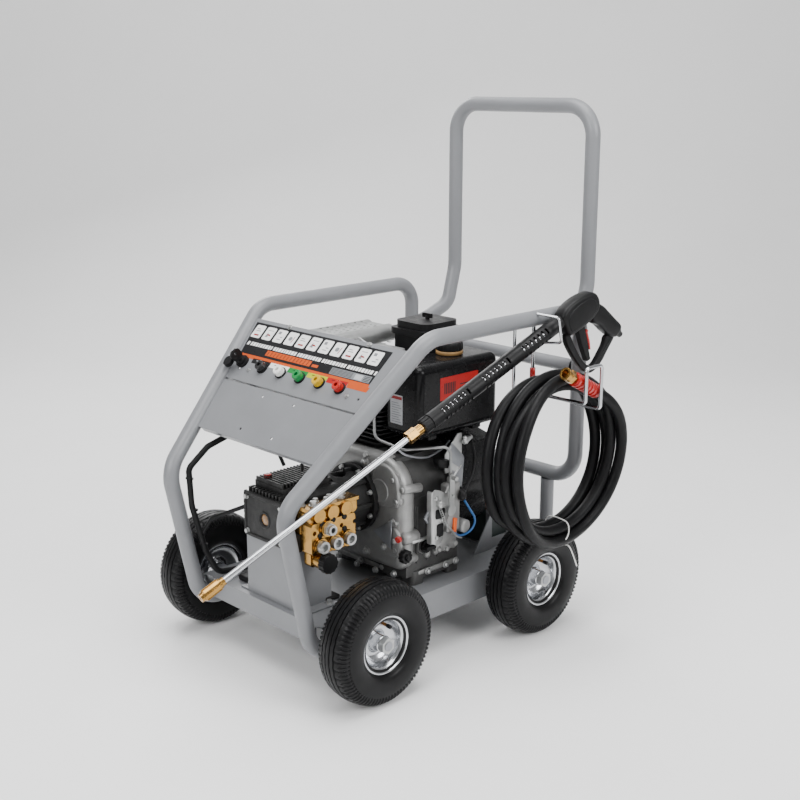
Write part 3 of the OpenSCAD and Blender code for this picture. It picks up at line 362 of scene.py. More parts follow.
def facing_right(x):
    """Lays an outline of (y, z) points in the plane x, its height towards the right."""
    return lambda u, v, h: Vector((x + h, u, v)) * mm


# ---------- hose ----------

HOSE_D = 0.025
COIL = Vector((0.356, 0.214, 0.432))
# angle of the first turn's start about the middle of the coil
COIL_START = 60.1
# least distance between the middles of two turns, in millimetres
TURN_GAP = 25.4
RELAX_ROUNDS = 80
# angle between neighbouring points of the coil, before it is fitted to whole steps
COIL_STEP = 5
# from a fitting's middle to the open end of its bend guard, and how far the hose runs back inside
GUARD_REACH = 0.122
TUCK = 0.03


def hose_ends():
    """Where each bend guard lets the hose out: a point and the way it heads there."""
    ends = []
    for fitting, forward, rise in (((0.391, 0.186, 0.628), 1, -28), ((0.305, 0.3649, 0.5586), -1, 14.1)):
        a = math.radians(rise)
        along = Vector((0, forward * math.cos(a), math.sin(a)))
        ends.append((Vector(fitting) + along * GUARD_REACH, along))
    return ends


# turned angle, x and radius of the hose's middle: right, bottom, left and top of each turn
LANES = [(0, 391, 160), (60, 390, 186), (150, 367, 182), (240, 391, 168), (330, 360, 177),
         (420, 370, 171), (510, 363, 157), (600, 369, 187), (690, 347, 151),
         (780, 350, 187), (870, 341, 182), (960, 349, 170), (1050, 334, 177),
         (1140, 331, 171), (1230, 337, 157), (1320, 331, 196), (1395, 309, 166)]


def push_apart(a, b):
    """Moves two points, each an x and a radius, away from each other until they are TURN_GAP apart."""
    dx, dr = b[0] - a[0], b[1] - a[1]
    gap = math.hypot(dx, dr)
    if gap < TURN_GAP:
        push = (TURN_GAP - gap) / 2 / max(gap, 1e-6)
        for q, sign in ((a, -1), (b, 1)):
            q[0] += sign * dx * push
            q[1] += sign * dr * push


def hose_route():
    """Four turns, each in its own lane of the coil, pushed a hose's width apart where they come close."""
    (p0, d0), (p1, d1) = hose_ends()
    end = (p1 - COIL) / mm
    total = COIL_START - math.degrees(math.atan2(end.z, end.y)) + 4 * 360
    keys = LANES + [(total, p1.x / mm, math.hypot(end.y, end.z))]
    count = int(total / COIL_STEP)
    step = total / count
    lane = []
    for i in range(count + 1):
        psi = i * step
        k = max(j for j in range(len(keys) - 1) if keys[j][0] <= psi + 1e-6)
        (a0, x0, r0), (a1, x1, r1) = keys[k], keys[k + 1]
        w = smoothstep(a0, a1, psi)
        lane.append([x0 + (x1 - x0) * w, r0 + (r1 - r0) * w])
    turn = round(360 / step)
    for _ in range(RELAX_ROUNDS):
        for hop in (turn, 2 * turn, 3 * turn):
            for i in range(count + 1 - hop):
                push_apart(lane[i], lane[i + hop])
        smoothed = [q[:] for q in lane]
        for i in range(2, count - 1):
            for c in (0, 1):
                smoothed[i][c] = 0.5 * lane[i][c] + 0.25 * (lane[i - 1][c] + lane[i + 1][c])
        lane = smoothed
        lane[0], lane[-1] = list(keys[0][1:]), list(keys[-1][1:])
    pts = [p0 - d0 * TUCK]
    for i, (x, r) in enumerate(lane):
        theta = math.radians(COIL_START - i * step)
        pts.append(Vector((x, COIL.y / mm + r * math.cos(theta), COIL.z / mm + r * math.sin(theta))) * mm)
    pts[1], pts[-1] = p0, p1
    return pts + [p1 - d1 * TUCK]


hose_points = hose_route()
HOSE = material("hose_cover", (0.0045, 0.0045, 0.005), rough=0.42, vary=0.2, vary_scale=50, rough_vary=0.08,
                bumps=((1300, 0.3, 0.0004),), spec=0.14)
hose = tube_curve("hose", hose_points, HOSE_D / 2, HOSE, "machine", replaces=("hose_coil",))

# ---------- tyres ----------

WHEEL_X, WHEEL_Y, WHEEL_Z = 276, 243, 130
WHEELS = [(end, hand, 1 if hand == "right" else -1, 1 if end == "rear" else -1)
          for end in ("front", "rear") for hand in ("right", "left")]
LUGS = 84
# steps round the tyre for each lug
LUG = 5
# distances from the middle plane to the edges of the zigzag ribs and of the shoulder's bars
RIB_IN, RIB_OUT = 4.2, 18
SHOULDER_IN, SHOULDER_OUT = 26.5, 40.5
# half of the section: radius and distance from the middle plane
TYRE_HALF = [(51.6, 26.5), (54, 28.2), (60, 29.4), (62.6, 31.5), (64.6, 35.6), (69, 38.6), (76, 41.0),
             (84, 42.3), (92, 42.45), (99, 41.9), (106, 40.4), (109, 39.4), (111.5, 39.8), (114.5, 39.2),
             (119, 37.0), (122.8, 33.4), (125.0, 29.6), (126.2, 26.2), (127.2, 22.0), (127.9, 18.6),
             (128.1, 17.8), (125.6, 17.2), (125.6, 15.4), (128.5, 14.8), (129.2, 10.6), (129.4, 7.4),
             (129.45, 6.9), (126.6, 6.3), (126.6, 4.6), (129.6, 4.0), (129.9, 2.0), (129.95, 0.0)]


def build_tyre(end, hand, sx, sy):
    prof = TYRE_HALF + [(r, -w) for r, w in reversed(TYRE_HALF[:-1])]
    bm = bmesh.new()
    rings = []
    for j in range(LUGS * LUG):
        a = 2 * math.pi * j / (LUGS * LUG)
        groove = j % LUG >= 3
        cut = (j + 3) % (2 * LUG) < 2
        zigzag = 0.7 * (abs(j % (2 * LUG) - LUG) / (LUG / 2) - 1)
        ring = []
        for r, w in prof:
            rr, ww = r, w
            if SHOULDER_IN < abs(w) < SHOULDER_OUT and r > 107:
                # a narrow slot beside each raised bar of the shoulder
                if groove:
                    rr -= 2.2
                    ww -= math.copysign(1.6, w)
            elif RIB_OUT <= abs(w) <= SHOULDER_IN and r > 124:
                # a shallow cut in the blocks between the shoulder and the ribs, at every second bar
                if cut:
                    rr -= 1.6
            if RIB_IN < abs(w) < RIB_OUT and r > 125:
                ww += zigzag
            ring.append(bm.verts.new((sx * WHEEL_X * mm + ww * mm, sy * WHEEL_Y * mm + rr * mm * math.cos(a),
                                      WHEEL_Z * mm + rr * mm * math.sin(a))))
        rings.append(ring)
    close_round(bm, rings)
    name = "tyre_%s_%s" % (end, hand)
    ob = add("treaded_" + name, bm, TYRE, "wheel_%s_%s" % (end, hand), replaces=(name,))
    split = ob.modifiers.new("sharp_bars", "EDGE_SPLIT")
    split.split_angle = math.radians(42)


for wheel_place in WHEELS:
    build_tyre(*wheel_place)

# ---------- spray gun ----------

LANCE_TIP = Vector((0.197, -0.603, 0.305))
LANCE_ROT = Matrix.Rotation(math.radians(-6.9), 4, "Z") @ Matrix.Rotation(math.radians(24.8), 4, "X")
GUN_Y = 972


def on_lance(x, y, z):
    return LANCE_TIP + (LANCE_ROT @ Vector((x * mm, y * mm, z * mm)))


def gun_at(u, v, h):
    return on_lance(h, GUN_Y + u, v)


BODY = [(2, -34), (-1, -14), (0, 10), (12, 21), (30, 26), (52, 27), (76, 24), (98, 18), (110, 6), (112, -12),
        (104, -28), (88, -36), (70, -40), (40, -41), (16, -40)]
GRIP = [(80, -20), (104, -14), (120, -30), (130, -50), (143, -78), (152, -98), (146, -110), (130, -116),
        (117, -108), (104, -88), (92, -64), (78, -46)]
GUARD = [(117, -104), (130, -110), (122, -120), (100, -132), (78, -145), (58, -152), (40, -154), (26, -148),
         (12, -128), (3, -100), (-3, -72), (-5, -50), (-2, -36), (10, -34), (13, -48), (15, -74), (20, -100),
         (27, -122), (38, -137), (52, -138), (72, -128), (92, -116), (106, -102)]
bm = bmesh.new()
crowned_plate(bm, smooth_loop(BODY), 17, 8, gun_at)
crowned_plate(bm, smooth_loop(GRIP), 15.5, 8, gun_at)
crowned_plate(bm, smooth_loop(GUARD), 7.5, 3.4, gun_at)
# raised side panels
PANEL = [(12, -30), (10, -8), (22, 8), (52, 14), (84, 10), (98, -4), (94, -22), (70, -32), (36, -33)]
for side in (1, -1):
    crowned_plate(bm, smooth_loop(PANEL), 1.6, 1.2, lambda u, v, h: gun_at(u, v, side * (16.6 + h)))
# front collar round the lance
lathe(bm, [(0, -13), (12.5, -13), (14, -11), (14, 2), (13, 4), (0, 4)], 40,
      lambda x, y, z: on_lance(x, GUN_Y + z, y))
# nipple at the foot of the grip
foot = Vector((0, GUN_Y + 140, -107))
tilt = Matrix.Rotation(math.radians(-150), 4, "X")


def nipple(x, y, z):
    p = foot + (tilt @ Vector((x, y, z)))
    return on_lance(p.x, p.y, p.z)


lathe(bm, [(0, -6), (9, -6), (9, 4), (10.5, 5), (10.5, 10), (7.2, 11), (7.2, 21), (6.4, 22), (4.2, 22),
           (4.2, 6), (0, 6)], 28, nipple)
add("gun_shell", bm, BLACK_PLASTIC, "spray_gun", replaces=("gun_body",))

# ---------- control panel print ----------

# foot and head of the sloping panel's face, in millimetres
PANEL_Y, PANEL_Z = -406, 415
PANEL_HEAD_Y, PANEL_HEAD_Z = -92, 721
SLOPE = math.atan2(PANEL_HEAD_Z - PANEL_Z, PANEL_HEAD_Y - PANEL_Y)


def on_panel(x, s, h):
    """A point x across the panel, s up its slope and h off its face."""
    return Vector((x, PANEL_Y + s * math.cos(SLOPE) - h * math.sin(SLOPE),
                   PANEL_Z + s * math.sin(SLOPE) + h * math.cos(SLOPE))) * mm


def ink(tint, colour):
    return material("ink_" + tint, colour, rough=0.32, vary=0.06, vary_scale=70, rough_vary=0.05,
                    bumps=((900, 0.03, 0.0003),), coat=0.05, coat_rough=0.2, spec=0.2)


INK_COLOURS = {"black": (0.01, 0.01, 0.011), "white": (0.82, 0.82, 0.81), "orange": (0.5, 0.075, 0.012),
               "grey": (0.2, 0.21, 0.22), "green": (0.008, 0.2, 0.04), "yellow": (0.42, 0.44, 0.012),
               "red": (0.38, 0.009, 0.008), "dark_red": (0.24, 0.012, 0.012), "pale_grey": (0.42, 0.43, 0.45)}
INKS = {tint: ink(tint, colour) for tint, colour in INK_COLOURS.items()}
print_shapes = {tint: [] for tint in INKS}


def patch(tint, pts, level=0):
    """Prints an outline; a higher level lies over a lower one."""
    print_shapes[tint].append(([Vector(p) for p in pts], level))


def bar(tint, x0, s0, x1, s1, level=0, slant=0.0):
    patch(tint, [(x0, s0), (x1, s0), (x1 + slant, s1), (x0 + slant, s1)], level)


TILES = 11
TILE_W = 31
TILE_PITCH = 38.2
patch("black", [(-222, 304), (196, 304), (203, 393), (-237, 394)])
for i in range(TILES):
    x0 = -228 + i * TILE_PITCH
    patch("white", rounded(x0, 354.5, x0 + TILE_W, 388, 3.5), 1)
    # a simple picture on each white tile
    cx = x0 + TILE_W / 2
    shape = i % 4
    if shape == 0:
        bar("grey", cx - 9, 372, cx + 7, 374, 2)
        bar("grey", cx - 9, 377, cx + 2, 379, 2)
        bar("dark_red", cx - 8, 360, cx + 8, 364, 2)
    elif shape == 1:
        patch("grey", [(cx - 9, 362), (cx + 1, 362), (cx - 4, 374)], 2)
        bar("dark_red", cx - 1, 366, cx + 9, 370, 2, slant=-6)
        bar("grey", cx - 9, 379, cx + 9, 380.5, 2)
    elif shape == 2:
        bar("grey", cx - 11, 376, cx - 2, 383, 2)
        bar("grey", cx - 6, 362, cx + 6, 364, 2)
        bar("grey", cx + 1, 368, cx + 9, 370, 2)
    else:
        patch("grey", rounded(cx - 8, 366, cx + 3, 376, 4), 2)
        bar("dark_red", cx + 4, 362, cx + 6, 378, 2, slant=3)
# broken white line, orange block, table and band
x = -222.0
k = 0
while x < 196:
    w = (7.0, 5.4, 8.0, 6.2, 4.6)[k % 5]
    bar("white", x, 334, min(x + w, 199), 343, 1, slant=0.9)
    x += w + (2.3 if k % 9 else 5.5)
    k += 1
bar("orange", -143, 317.5, 6, 331, 1)
for i in range(13):
    bar("black", -138 + i * 11, 319, -136.4 + i * 11, 329.5, 2, slant=2.2)
bar("orange", 12, 318.5, 31, 325, 1)
bar("grey", 72, 313, 192, 329, 1)
for i in range(5):
    bar("black", 74, 315 + i * 2.8, 138, 316 + i * 2.8, 2)
bar("pale_grey", 146, 315, 168, 327, 2)
for i in range(4):
    bar("black", 172, 315 + i * 3.4, 190, 316.4 + i * 3.4, 2)
patch("orange", [(-222, 301.5), (198, 301.5), (197, 311), (-224.5, 311)], 1)
BAND_PITCH = 62.2
for i, tint in enumerate(("black", "white", "green", "yellow", "red", "orange")):
    x0 = -170 + i * BAND_PITCH
    patch(tint, [(x0 + 1, 292.5), (x0 + 60, 292.5), (x0 + 62, 304.5), (x0, 304.5)], 2)
    if tint != "orange":
        bar("pale_grey" if tint == "black" else "black", x0 + 14, 299.5, x0 + 44, 300.9, 3)
for tint, shapes in print_shapes.items():
    bm = bmesh.new()
    for pts, level in shapes:
        base, top = 1.02, 1.14 + 0.1 * level
        prism(bm, [on_panel(p.x, p.y, base) for p in pts], [on_panel(p.x, p.y, top) for p in pts])
    add("panel_print_" + tint, bm, INKS[tint], "machine", smooth=False)

# ---------- fuel tank ----------

NECK_X, NECK_Y = 112, 132


def on_neck(x, y, z):
    return Vector((NECK_X + x, NECK_Y + y, z)) * mm


bm = bmesh.new()
rounded_box(bm, (0.0615, -0.0185, 0.4745), (0.1705, 0.2305, 0.634), 0.017, 5)
# seam flange, two feet and the neck
rounded_box(bm, (0.0575, -0.0225, 0.4862), (0.1745, 0.2345, 0.4888), 0.0012)
rounded_box(bm, (0.084, 0.03, 0.463), (0.15, 0.056, 0.476), 0.002)
rounded_box(bm, (0.084, 0.17, 0.463), (0.15, 0.196, 0.476), 0.002)
lathe(bm, [(17.1, 600), (17.1, 642), (18.2, 643), (21, 643), (21, 632), (26, 630.5), (30, 629), (30, 624)],
      48, on_neck)
tank = add("tank_shell", bm, BLACK_PAINT, "machine", replaces=("fuel_tank",))
tank.modifiers.new("weighted", "WEIGHTED_NORMAL").keep_sharp = False

bm = bmesh.new()
lathe(bm, [(21.3, 643.1), (29.5, 643.1), (30, 641.5), (30, 636.2), (28, 634.6), (21.3, 634.6)], 48, on_neck)
GASKET = material("gasket", (0.3, 0.17, 0.06), rough=0.6, vary=0.2, vary_scale=90, rough_vary=0.1,
                  bumps=((800, 0.2, 0.0004),))
add("cap_gasket", bm, GASKET, "machine")


def plate_right(bm, x0, x1, y0, y1, z0, z1, r=0.002):
    """A thin rounded label from x0 to x1 on the tank's right side, in metres."""
    pts = rounded(y0, z0, y1, z1, r)
    prism(bm, [(x0, p.x, p.y) for p in pts], [(x1, p.x, p.y) for p in pts])


def plate_front(bm, y0, y1, x0, x1, z0, z1, r=0.002):
    """A thin rounded label from y0 to y1 on the tank's front, in metres."""
    pts = rounded(x0, z0, x1, z1, r)
    prism(bm, [(p.x, y0, p.y) for p in pts], [(p.x, y1, p.y) for p in pts])


LINE_PITCH = 0.0052
bm = bmesh.new()
plate_right(bm, 0.1704, 0.1709, 0.044, 0.162, 0.553, 0.603)
add("tank_label_red", bm, INKS["red"], "machine", smooth=False)
bm = bmesh.new()
for i in range(7):
    plate_right(bm, 0.1708, 0.17105, 0.056 + i * LINE_PITCH, 0.0592 + i * LINE_PITCH, 0.566, 0.590, 0.0006)
plate_right(bm, 0.1708, 0.17105, 0.104, 0.15, 0.572, 0.5745, 0.0006)
plate_right(bm, 0.1708, 0.17105, 0.104, 0.143, 0.580, 0.5825, 0.0006)
add("tank_label_bars", bm, INKS["black"], "machine", smooth=False)
bm = bmesh.new()
plate_front(bm, -0.0189, -0.0184, 0.083, 0.120, 0.502, 0.566, 0.0014)
add("tank_data_plate", bm, INKS["pale_grey"], "machine", smooth=False)
bm = bmesh.new()
for i in range(9):
    z0 = 0.506 + i * LINE_PITCH
    plate_front(bm, -0.0191, -0.01885, 0.087, 0.116 - 0.004 * (i % 3), z0, z0 + 0.0018, 0.0004)
add("tank_data_lines", bm, INKS["grey"], "machine", smooth=False)
bm = bmesh.new()
plate_front(bm, -0.0192, -0.01885, 0.085, 0.118, 0.5565, 0.5632, 0.0006)
add("tank_data_band", bm, INKS["dark_red"], "machine", smooth=False)

# ---------- fuel cap ----------

CAP_PROFILE = [(0, 624), (16, 624), (17, 625), (17, 642), (28, 643.6), (29.6, 645), (30.2, 648), (30.2, 657),
               (29.4, 660.5), (26.5, 662.8), (24.5, 663), (23.6, 662.2), (21, 662.2), (20, 665), (12, 666),
               (0, 666)]
CAP_RIBS = 16
CAP_STEPS = 96
bm = bmesh.new()
rings = []
for j in range(CAP_STEPS):
    a = 2 * math.pi * j / CAP_STEPS
    flute = 1.7 * (0.5 + 0.5 * math.cos(CAP_RIBS * a)) ** 2
    fluted = [(r - flute if r > 28.5 else r, z) for r, z in CAP_PROFILE]
    rings.append([bm.verts.new(on_neck(r * math.cos(a), r * math.sin(a), z)) for r, z in fluted])
close_round(bm, rings)
bmesh.ops.remove_doubles(bm, verts=bm.verts, dist=1e-6)
add("ribbed_cap", bm, BLACK_PLASTIC, "tank_cap", replaces=("fuel_cap",))

# ---------- engine details ----------

CAST = material("engine_casting", (0.30, 0.30, 0.295), metallic=0.55, rough=0.42, rough_vary=0.08, vary=0.14,
                vary_scale=30, bumps=((1300, 0.3, 0.0005), (140, 0.1, 0.0012)), edge=0.002, spec=0.4)
DARK_CAST = material("dark_casting", (0.075, 0.075, 0.074), metallic=0.5, rough=0.45, rough_vary=0.08,
                     vary=0.2, vary_scale=30, bumps=((1300, 0.3, 0.0005),), edge=0.002, spec=0.35)
BLUE_WIRE = material("wire_blue", (0.03, 0.13, 0.36), rough=0.38, vary=0.1, rough_vary=0.05,
                     bumps=((900, 0.05, 0.0003),))
ORANGE = material("plug_orange", (0.75, 0.11, 0.012), rough=0.4, vary=0.1, rough_vary=0.05,
                  bumps=((900, 0.05, 0.0003),))
WHITE_NYLON = material("tie_white", (0.72, 0.72, 0.7), rough=0.4, vary=0.05, rough_vary=0.05,
                       bumps=((900, 0.05, 0.0003),))
# the crankcase is darker than its covers
frame["nodes"]["crankcase"].data.materials[0] = DARK_CAST

# timing cover: a pillow of a casting with a raised round boss, rounded right shoulder and bolt lugs
COVER_BOLTS = ((56, 418), (96, 424), (148, 398), (158, 352), (140, 300), (118, 240), (60, 214), (-10, 210),
               (152, 262))
bm = bmesh.new()
cover = (arc_points(144, 214, 24, -90, 0, 8) + [(169, 262), (170, 300), (170, 340)]
         + arc_points(92, 362, 78, 0, 90, 14) + [(60, 440), (20, 439)] + arc_points(-20, 365, 72, 90, 180, 12)
         + [(-92, 320), (-92, 260)] + arc_points(-68, 208, 24, 180, 270, 8) + [(-20, 184), (60, 187)])
crowned_plate(bm, cover, 23, 19, facing_front(-45), 6)
raised = smooth_loop([(80, 372), (84, 344), (104, 331), (132, 336), (160, 340), (166, 372), (158, 404),
                      (134, 424), (104, 424), (88, 404)], 5)
crowned_plate(bm, raised, 6, 5, facing_front(-70), 4)
turned(bm, (110, -70, 366), (110, -90, 366),
       [(26, 0), (26, 6.4), (25, 7.6), (23, 7.6), (21.8, 6.2), (0, 6)], 40)
for x, z in COVER_BOLTS:
    pin(bm, (x, -58, z), (x, -72, z), 10.5, 28, 2.4)
pin(bm, (172, -70, 381), (168, -12, 373), 10, 28, 2.5)
pin(bm, (166, -66, 268), (166, -20, 266), 15, 28, 4)
pin(bm, (150, -60, 215), (160, -20, 215), 13, 28, 4)
swell = smooth_loop([(104, 262), (112, 286), (150, 290), (168, 262), (160, 226), (120, 222)], 5)
crowned_plate(bm, swell, 6, 5, facing_front(-66), 4)
add("timing_cover", bm, CAST, "machine", replaces=("gear_cover",))

# bolts of the cover and of the sump flange
bm = bmesh.new()
for x, z in COVER_BOLTS:
    hex_head(bm, (x, -71.6, z), (0, -1, 0))
pin(bm, (172.4, -69, 381), (172.6, -73, 381.3), 5.5, 24, 0.6)
for x, y in ((22, -52), (85, -44), (140, -36), (170, 10), (170, 66), (170, 98)):
    facing = (1, 0, 0) if x > 160 else (0, -1, 0)
    hex_head(bm, (x, y, 176), facing, 6.5)
pin(bm, (177, -47, 259), (177, 3, 258), 4.2, 20)
pin(bm, (182, 108, 452), (171, 140, 456), 6, 20)
pin(bm, (176, 116, 462), (176, 122, 446), 5, 20)
add("cover_bolts", bm, ZINC, "machine")

bm = bmesh.new()
sump = [(-60, -50), (60, -50), (120, -44), (150, -36), (166, -14), (169, 30), (169, 96), (160, 110),
        (-60, 110)]
crowned_plate(bm, sump, 6, 3, lambda u, v, h: Vector((u, v, 176 + h)) * mm, 3)
for y, drop in ((-24, 0), (14, 2), (40, 1), (70, 1), (96, 0)):
    pin(bm, (150, y, 214), (169, y, 214 - drop), 9, 24, 3)
pin(bm, (140, 4, 236), (166, 4, 236), 19, 28, 3)
add("sump_flange", bm, CAST, "machine")

bm = bmesh.new()
crowned_plate(bm, [(91, 271), (148, 309), (145, 243)], 1.4, 0.6, facing_front(-77), 2)
crowned_plate(bm, [(71, 358), (114, 346), (120, 412), (116, 420), (79, 455)], 1.2, 0.6, facing_right(171), 2)
crowned_plate(bm, [(-22, 310), (-12, 324), (-6, 322), (-14, 309), (-7, 299), (-13, 296)], 2.5, 0.8,
              facing_right(190), 2)
add("sheet_brackets", bm, STEEL, "machine")

# injection pump with its governor plate, springs and links
bm = bmesh.new()
pin(bm, (168, 62, 292), (194, 62, 292), 21, 32, 3)
crowned_plate(bm, rounded(42, 262, 82, 372, 6), 11, 3, facing_right(186), 3)
pin(bm, (187, 62, 368), (187, 62, 384), 9, 6, 1)
pin(bm, (187, 62, 383), (187, 62, 396), 5, 20, 1)
pin(bm, (166, 104, 262), (196, 104, 262), 15, 32, 3)
crowned_plate(bm, rounded(20, 218, 84, 262, 8), 6, 2, facing_right(180), 3)
for y, z in ((28, 226), (52, 222), (78, 228), (74, 254), (30, 252)):
    pin(bm, (180, y, z), (192, y, z), 6, 24, 2)
add("injection_body", bm, CAST, "machine", replaces=("injection_pump",))
bm = bmesh.new()
plate = [(-8, 366), (0, 372), (18, 366), (40, 352), (43, 300), (31, 286), (20, 248), (6, 244), (-8, 252)]
crowned_plate(bm, plate, 1.3, 0.6, facing_right(199), 2)
crowned_plate(bm, [(-10, 250), (-6, 250), (-6, 368), (-10, 366)], 7, 0.6, facing_right(193), 2)
crowned_plate(bm, [(36, 300), (56, 318), (60, 384), (50, 388), (42, 352), (34, 340)], 1.3, 0.6,
              facing_right(196), 2)
crowned_plate(bm, [(60, 388), (113, 388), (113, 470), (100, 471), (60, 430)], 1.5, 0.6,
              facing_right(169.5), 2)
crowned_plate(bm, [(58, 404), (84, 388), (92, 398), (66, 416)], 1.3, 0.6, facing_right(184), 2)
for y, z in ((4, 352), (6, 262), (22, 300), (50, 372)):
    hex_head(bm, (199, y, z), (1, 0, 0), 5, 4)
pin(bm, (198, 43, 318), (210, 43, 318), 4.6, 24, 0.6)
pin(bm, (200, 12, 338), (211, 12, 338), 8, 28, 1)
add("governor_plates", bm, ZINC, "machine")
# black sheets laid on the governor plate where it has gaps: their black is painted shade
bm = bmesh.new()
crowned_plate(bm, rounded(6, 262, 26, 292, 4), 0.6, 0.3, facing_right(200.8), 2)
crowned_plate(bm, rounded(2, 304, 30, 326, 4), 0.6, 0.3, facing_right(200.8), 2)
add("governor_gap_shade", bm, BLACK_PLASTIC, "machine")
# a spring that runs back and down, twelve points to a turn
spring = []
for k in range(100):
    a = 2 * math.pi * k / 12
    spring.append(Vector((206 + 4 * math.cos(a), 10 + 0.18 * k, 330 - 0.42 * k + 4 * math.sin(a))) * mm)
tube_curve("governor_spring", spring, 0.9 * mm, ZINC, "machine", res=2)
tube_curve("link_rod", path((206, 30, 288), (204, 50, 270), (196, 74, 244), (190, 96, 236)), 2.0 * mm, ZINC,
           "machine", res=3)
tube_curve("stop_rod", path((204, 28, 360), (205, 44, 384), (204, 66, 404), (196, 84, 408)), 2.0 * mm, ZINC,
           "machine", res=3)

# oil filler plug with a notched rim, sensor, control knob, plugs and leads
NOTCH_STEPS = 40
bm = bmesh.new()
notched = []
for k in range(NOTCH_STEPS):
    a = 2 * math.pi * k / NOTCH_STEPS
    r = 15.5 if k % 4 < 2 else 13.8
    notched.append((r * math.cos(a), r * math.sin(a)))
crowned_plate(bm, notched, 7, 2, lambda u, v, h: Vector((176 + h, -64 + u, 231 + v)) * mm, 3)
pin(bm, (181, -64, 231), (190, -64, 231), 8, 24, 2)
pin(bm, (196, 78, 342), (206, 90, 341), 13, 24, 4)
crowned_plate(bm, [(34, 408), (60, 402), (66, 420), (30, 428)], 10, 3, facing_right(172), 3)
add("black_knobs", bm, BLACK_PLASTIC, "machine")
bm = bmesh.new()
pin(bm, (168, -74, 272), (171, -82, 272), 7, 24, 1)
pin(bm, (266, 232, 588), (266, 232, 613), 6.2, 24, 1.2)
add("red_caps", bm, RED, "machine")
bm = bmesh.new()
crowned_plate(bm, [(57, 262), (67, 260), (70, 291), (60, 294)], 6, 2.4, facing_right(196), 3)
add("orange_plug", bm, ORANGE, "machine")
blue = path((184, 110, 318), (182, 132, 290), (180, 153, 262), (180, 140, 240), (182, 110, 236),
            (188, 76, 246), (194, 66, 262))
tube_curve("blue_lead", blue, 2.6 * mm, BLUE_WIRE, "machine")
dark = path((172, 130, 470), (182, 146, 430), (182, 138, 372), (190, 108, 352), (200, 92, 342))
tube_curve("dark_lead", dark, 3.0 * mm, RUBBER, "machine")
pipe = path((150, -66, 470), (151, -52, 452), (152, -12, 436), (152, 24, 428), (152, 40, 430), (150, 84, 440),
            (150, 96, 452))
tube_curve("injector_pipe", pipe, 2.6 * mm, STEEL, "machine")

# ---------- wheel rims ----------

# section of a pressed rim: rolled lips, a deep dish and a hub, as radius and distance from the middle plane
RIM_PROFILE = [(11, 22), (17, 22), (18, 20), (18.4, -1), (22, -5), (33, -3), (43, 5), (47.5, 15),
               (49, 21), (51.5, 23.4), (53.6, 23.8), (55.2, 26.4), (57.4, 29.6), (60, 30.8),
               (62.2, 29.8), (62.6, 27.6), (60, 26), (55, 24), (52, 18), (51.4, 0), (52, -18), (55, -24),
               (60, -26), (62.6, -27.6), (62.2, -29.8), (60, -30.8), (57, -29.6), (53, -24), (48, -15),
               (32, -11), (19, -13), (18, -24), (11, -24), (11, 22)]
VALVE = material("valve_brass", (0.2, 0.09, 0.03), metallic=0.8, rough=0.35, vary=0.2, vary_scale=80,
                 rough_vary=0.08, bumps=((300, 0.1, 0.0004),))
for end, hand, sx, sy in WHEELS:
    wheel = "wheel_%s_%s" % (end, hand)

    def at_rim(x, y, z):
        return Vector((sx * (WHEEL_X + z), sy * WHEEL_Y + x, WHEEL_Z + y)) * mm

    def at_valve(out, up):
        """A point on the valve's line, out from the wheel's middle plane and up from its axle."""
        return (sx * (WHEEL_X + out), sy * WHEEL_Y + 16, WHEEL_Z + up)

    bm = bmesh.new()
    lathe(bm, RIM_PROFILE, 72, at_rim)
    add("pressed_rim_%s_%s" % (end, hand), bm, CHROME, wheel, replaces=("rim_%s_%s" % (end, hand),))
    bm = bmesh.new()
    pin(bm, at_valve(-2, 34), at_valve(16, 33), 3.6, 20)
    add("valve_%s_%s" % (end, hand), bm, VALVE, wheel)
    bm = bmesh.new()
    pin(bm, at_valve(15, 33), at_valve(27, 32.5), 4.4, 20, 1.2)
    add("valve_cap_%s_%s" % (end, hand), bm, BLACK_PLASTIC, wheel)

# ---------- pump details and cable tie ----------

# sight glass, raised border of the crankcase's face, red oil cap, dark plugs of the brass head and pads
AMBER = material("sight_glass", (0.2, 0.1, 0.03), rough=0.12, vary=0.2, vary_scale=60, rough_vary=0.04,
                 bumps=((200, 0.05, 0.0004),), coat=0.5, coat_rough=0.05)
GLASS_X, GLASS_Z = 22, 338
bm = bmesh.new()
turned(bm, (GLASS_X, -314, GLASS_Z), (GLASS_X, -330, GLASS_Z),
       [(0, 4.4), (9, 4), (13.4, 2.6), (13.4, 0), (0, 0)], 36)
add("sight_glass", bm, AMBER, "machine")
bm = bmesh.new()
turned(bm, (GLASS_X, -315, GLASS_Z), (GLASS_X, -330, GLASS_Z),
       [(13.5, 0), (19, 0), (19, 4.6), (17.6, 6), (14.6, 6), (13.5, 4.6), (13.5, 0)], 40)
for u0, v0, u1, v1 in ((-44, 379, 88, 389), (-45, 293, -38, 385), (82, 293, 89, 385), (-44, 291, 88, 299)):
    crowned_plate(bm, rounded(u0, v0, u1, v1, 3), 3.4, 1.6, facing_front(-318), 2)
add("pump_face", bm, IRON, "machine")
bm = bmesh.new()
pin(bm, (-8, -284, 407), (-8, -284, 414), 12, 6, 1)
pin(bm, (-8, -284, 413), (-8, -284, 423), 9, 28, 2)
add("pump_oil_cap", bm, RED, "machine")
bm = bmesh.new()
for y, z in ((-206, 349), (-206, 323), (-236, 350), (-272, 324), (-265, 347)):
    pin(bm, (134, y, z), (144.6, y, z), 6.2, 24, 1)
rounded_box(bm, (0.066, -0.222, 0.1502), (0.104, -0.186, 0.160), 0.003, 2)
rounded_box(bm, (-0.128, -0.282, 0.1502), (-0.062, -0.238, 0.164), 0.004, 2)
add("dark_plugs_and_pads", bm, BLACK_PLASTIC, "machine")

